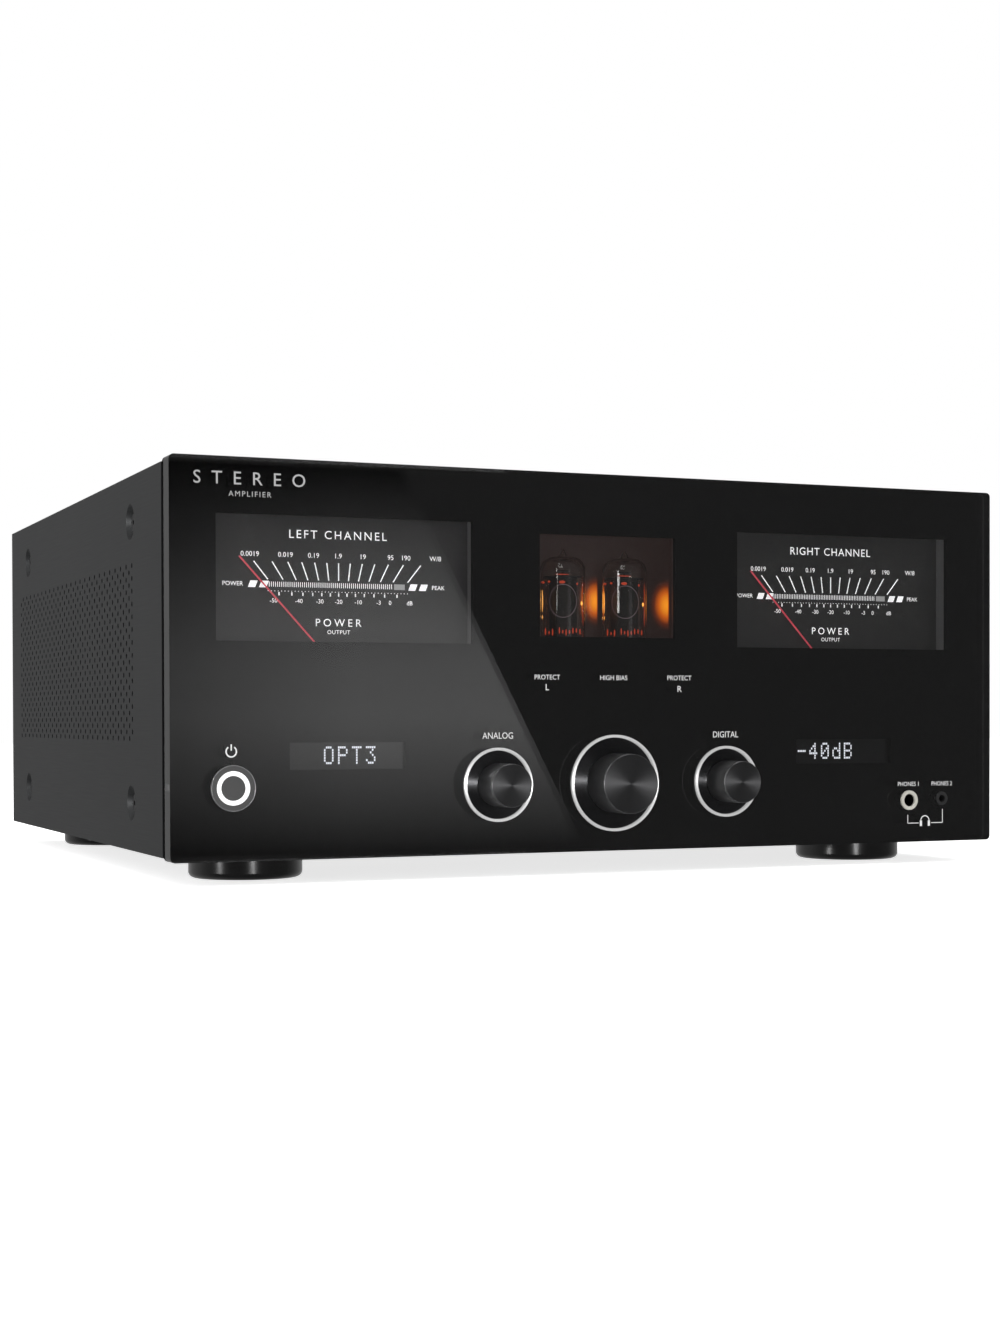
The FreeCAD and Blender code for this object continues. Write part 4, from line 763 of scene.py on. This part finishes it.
# a row of short red glints at the foot of each tube
heaterGlowAndGlints["redGlow"] += [(-8.0 + 1.6 * i, 5.2, 104.6 + 0.5 * math.sin(5 * i), 0.32, 1.3 + 0.5 * math.cos(3 * i))
                         for i in range(11)]
glintHeading = math.radians(tubes["glintHeading"])
for name, spots in heaterGlowAndGlints.items():
    bm = bmesh.new()
    for side in (-1, 1):
        for along, out, height, wide, tall in spots:
            x = along * math.cos(glintHeading) + out * math.sin(glintHeading)
            back = along * math.sin(glintHeading) - out * math.cos(glintHeading)
            place = onFront(side * tubes["offset"] + x, height, tubes["depth"] + back)
            size = Matrix.Diagonal((wide * mm, min(wide, 0.6) * mm, tall * mm, 1.0))
            bmesh.ops.create_icosphere(bm, subdivisions=2, radius=1.0, matrix=Matrix.Translation(place) @ size)
    glowPiece = finishPiece(name, meshFrom(bm, name), makeGlow(*tubes["glow"][name]), smooth=180)

# a printed ring on the glass of each tube, its faint glow painted light
bm = bmesh.new()
for side in (-1, 1):
    rows = []
    for size in (tubes["markSize"], tubes["markSize"] * tubes["markInner"]):
        row = []
        for step in range(tubes["markSteps"]):
            turn = 2 * math.pi * step / tubes["markSteps"]
            angle = math.radians(tubes["markTurn"]) + size * math.cos(turn) / tubes["radius"]
            reach = tubes["radius"] + tubes["markGap"]
            row.append(bm.verts.new(onFront(
                side * tubes["offset"] + reach * math.sin(angle),
                tubes["markHeight"] + size * tubes["markStretch"] * math.sin(turn),
                tubes["depth"] - reach * math.cos(angle))))
        rows.append(row)
    for i in range(tubes["markSteps"]):
        j = (i + 1) % tubes["markSteps"]
        bm.faces.new((rows[0][i], rows[0][j], rows[1][j], rows[1][i]))
markFinish = makeGlow("glassPrint", "#54464a", 0.6, base="#4a3e42")
tubeMark = finishPiece("tubeRingMark", meshFrom(bm, "tubeRingMark"), markFinish)
print("tube lights made")


# rear lettering: text, across seen from the front, height of its foot, capital height
rearMarks = [("SPEAKER L", -70, 69, 2.6), ("SPEAKER R", -160, 69, 2.6),
             ("-", -79.5, 60.5, 3.2), ("+", -60.5, 60.5, 3.2),
             ("-", -169.5, 60.5, 3.2), ("+", -150.5, 60.5, 3.2),
             ("IN 1", -170, 141.5, 2.2), ("IN 2", -148, 141.5, 2.2), ("IN 3", -126, 141.5, 2.2),
             ("IN 4", -104, 141.5, 2.2), ("L", -187, 131.5, 2.2), ("R", -187, 112.5, 2.2),
             ("COAX", 60, 141.5, 2.2), ("OUT", 60, 121.5, 2.2), ("OPT 1", 104, 143.5, 2.2),
             ("OPT 2", 126, 143.5, 2.2), ("OPT 3", 148, 143.5, 2.2), ("MAINS", 150, 68.5, 2.2)]
rearDepth = (rearY - frontY) / mm + 0.03
bm = bmesh.new()
for text, x, height, cap in rearMarks:
    addText(bm, text, x, height, cap, None, rearDepth)
rearLettering = finishPiece("rearLettering", meshFrom(bm, "rearLettering"), finish["whiteInk"])
print("rear lettering made")


floor = {"half": 6.0, "drop": 0.0002, "lift": 0.75}  # metres, and a little light of its own
bm = bmesh.new()
bm.faces.new([bm.verts.new((x * floor["half"], y * floor["half"], -floor["drop"]))
              for x, y in ((-1, -1), (1, -1), (1, 1), (-1, 1))])
floorMesh = meshFrom(bm, "floor")
floorFinish = makeGrained("paintedFloor", "#f4f4f4", "#f7f7f7", 0.9, grainMm=2.0, bump=0.02)
floorShader = floorFinish.node_tree.nodes["Principled BSDF"]
floorShader.inputs["Emission Color"].default_value = grey(1.0)
floorShader.inputs["Emission Strength"].default_value = floor["lift"]
floorMesh.materials.append(floorFinish)
floorPiece = bpy.data.objects.new("floor", floorMesh)
bpy.context.scene.collection.objects.link(floorPiece)
floorPiece.visible_glossy = False
floorPiece.visible_transmission = False

# a tall white card off to the front, which the clear front mirrors in its left part
card = {
    "distance": 700.0,
    "eye": (-432.8, 61.7, 885.9),  # across, up and out: the card fills the listed part of the front from here
    "corners": [(-216, 2.5), (-16, 2.5), (-106, 176), (-216, 176)],
    "levels": [(0.0, 0.10), (0.35, 0.95), (0.5, 0.88), (0.8, 0.28), (1.0, 0.03)],
    "farSide": 0.5,
}


def onCard(x, height):
    eyeX, eyeHeight, reach = card["eye"]
    grow = card["distance"] / reach
    return onFront(x + (x - eyeX) * grow, height + (height - eyeHeight) * grow, -card["distance"])


bm = bmesh.new()
bm.faces.new([bm.verts.new(onCard(x, height)) for x, height in card["corners"]])
cardMesh = meshFrom(bm, "reflectorCard")
cardMaterial, tree, shader = startMaterial("litPaperCard", Base_Color=hexColor("#000000"), Roughness=1.0,
                                           Specular_IOR_Level=0.0, Emission_Strength=1.0)
parts = addNode(tree, "ShaderNodeSeparateXYZ", links={"Vector": objectPlace(tree)})
rise = addNode(tree, "ShaderNodeMapRange", {"From Min": onCard(0, 2.5).z, "From Max": onCard(0, 176).z},
               {"Value": parts.outputs["Z"]})
fade = addNode(tree, "ShaderNodeMapRange", {"From Min": onCard(-216, 0).x, "From Max": onCard(-130, 0).x,
                                            "To Min": card["farSide"]}, {"Value": parts.outputs["X"]})
shine = addNode(tree, "ShaderNodeVectorMath", links={
    0: addRamp(tree, rise.outputs["Result"], [(place, grey(level)) for place, level in card["levels"]]),
    1: fade.outputs["Result"]}, operation="MULTIPLY")
tree.links.new(shine.outputs["Vector"], shader.inputs["Emission Color"])
cardMesh.materials.append(cardMaterial)
cardPiece = bpy.data.objects.new("reflectorCard", cardMesh)
bpy.context.scene.collection.objects.link(cardPiece)
for key in ("camera", "diffuse", "shadow", "volume_scatter"):
    setattr(cardPiece, "visible_" + key, False)


softboxes = {
    # place, what it faces, width and height, power, and whether it lights dull surfaces too
    "topBox": ((0.2, 0.1, 1.9), (0, 0, 0.1), (1.6, 1.2), 26, True),
    "leftBox": ((-1.8, 0.6, 0.9), (0, 0, 0.1), (1.2, 1.0), 9, True),
    "frontBox": ((-1.2, -1.6, 1.5), (0, -0.2, 0.1), (0.9, 0.6), 12, True),
    # the thin line down the right tube, and a small strip behind the mask for the left one
    "slotBox": ((-1.9, -1.3, 0.3), (0, -0.2, 0.12), (0.45, 0.12), 5.5, True),
    "stripLamp": (onFront(-37.0, 125.0, 11.5), onFront(-23.7, 125.0, 18.0), (0.0008, 0.026), 0.002, False),
    # the streaks across the turned dishes and down the knobs' sides
    "dishStreak": ((-0.2, -2.0, 0.075), (0, -0.2, 0.043), (0.14, 0.05), 22, False),
    "knobStreak": ((-1.8, -0.8, 0.075), (0, -0.2, 0.043), (0.14, 0.05), 22, False),
}
for name, (place, aim, size, power, dull) in softboxes.items():
    data = bpy.data.lights.new(name, "AREA")
    data.shape = "RECTANGLE"
    data.size, data.size_y = size
    data.energy = power
    lamp = bpy.data.objects.new(name, data)
    lamp.location = place
    lamp.rotation_euler = (Vector(aim) - Vector(place)).to_track_quat("-Z", "Y").to_euler()
    lamp.visible_diffuse = dull
    bpy.context.scene.collection.objects.link(lamp)

# white surroundings for the eye, soft grey for light, and a dim room in front for reflections
room = {"diffuse": 0.5, "front": 0.12, "back": 0.32}
world = bpy.data.worlds.new("studio")
bpy.context.scene.world = world
world.use_nodes = True
tree = world.node_tree
tree.nodes.clear()
rays = addNode(tree, "ShaderNodeLightPath")
direction = addNode(tree, "ShaderNodeSeparateXYZ",
                    links={"Vector": addNode(tree, "ShaderNodeTexCoord").outputs["Generated"]})
away = addNode(tree, "ShaderNodeMapRange", {"From Min": -0.25, "From Max": 0.5, "To Min": room["front"],
                                            "To Max": room["back"]}, {"Value": direction.outputs["Y"]})
mirrored = addNode(tree, "ShaderNodeMath", links={0: rays.outputs["Is Glossy Ray"],
                                                 1: rays.outputs["Is Transmission Ray"]}, operation="MAXIMUM")
glossy = addNode(tree, "ShaderNodeMix", {"A": room["diffuse"]},
                 {"Factor": mirrored.outputs[0], "B": away.outputs["Result"]}, data_type="FLOAT")
level = addNode(tree, "ShaderNodeMix", {"B": 1.0},
                {"Factor": rays.outputs["Is Camera Ray"], "A": glossy.outputs["Result"]}, data_type="FLOAT")
background = addNode(tree, "ShaderNodeBackground", {"Color": grey(1.0)}, {"Strength": level.outputs["Result"]})
addNode(tree, "ShaderNodeOutputWorld", links={"Surface": background.outputs["Background"]})

viewer = {
    "place": (-0.43276, -1.08691, 0.07273),
    "tilt": -0.713,
    "heading": -22.871,
    "roll": -0.144,
    "lens": 55.93,
    "rise": 0.0603,
}
cameraData = bpy.data.cameras.new("camera")
cameraData.lens = viewer["lens"]
cameraData.shift_y = viewer["rise"]
cameraData.clip_start = 0.01
camera = bpy.data.objects.new("camera", cameraData)
turn = (Matrix.Rotation(math.radians(viewer["heading"]), 4, "Z")
        @ Matrix.Rotation(math.radians(90 + viewer["tilt"]), 4, "X")
        @ Matrix.Rotation(math.radians(viewer["roll"]), 4, "Z"))
camera.matrix_world = Matrix.Translation(viewer["place"]) @ turn
bpy.context.scene.collection.objects.link(camera)
bpy.context.scene.camera = camera
bpy.context.scene.view_settings.view_transform = "Standard"
print("stage, light and camera ready")
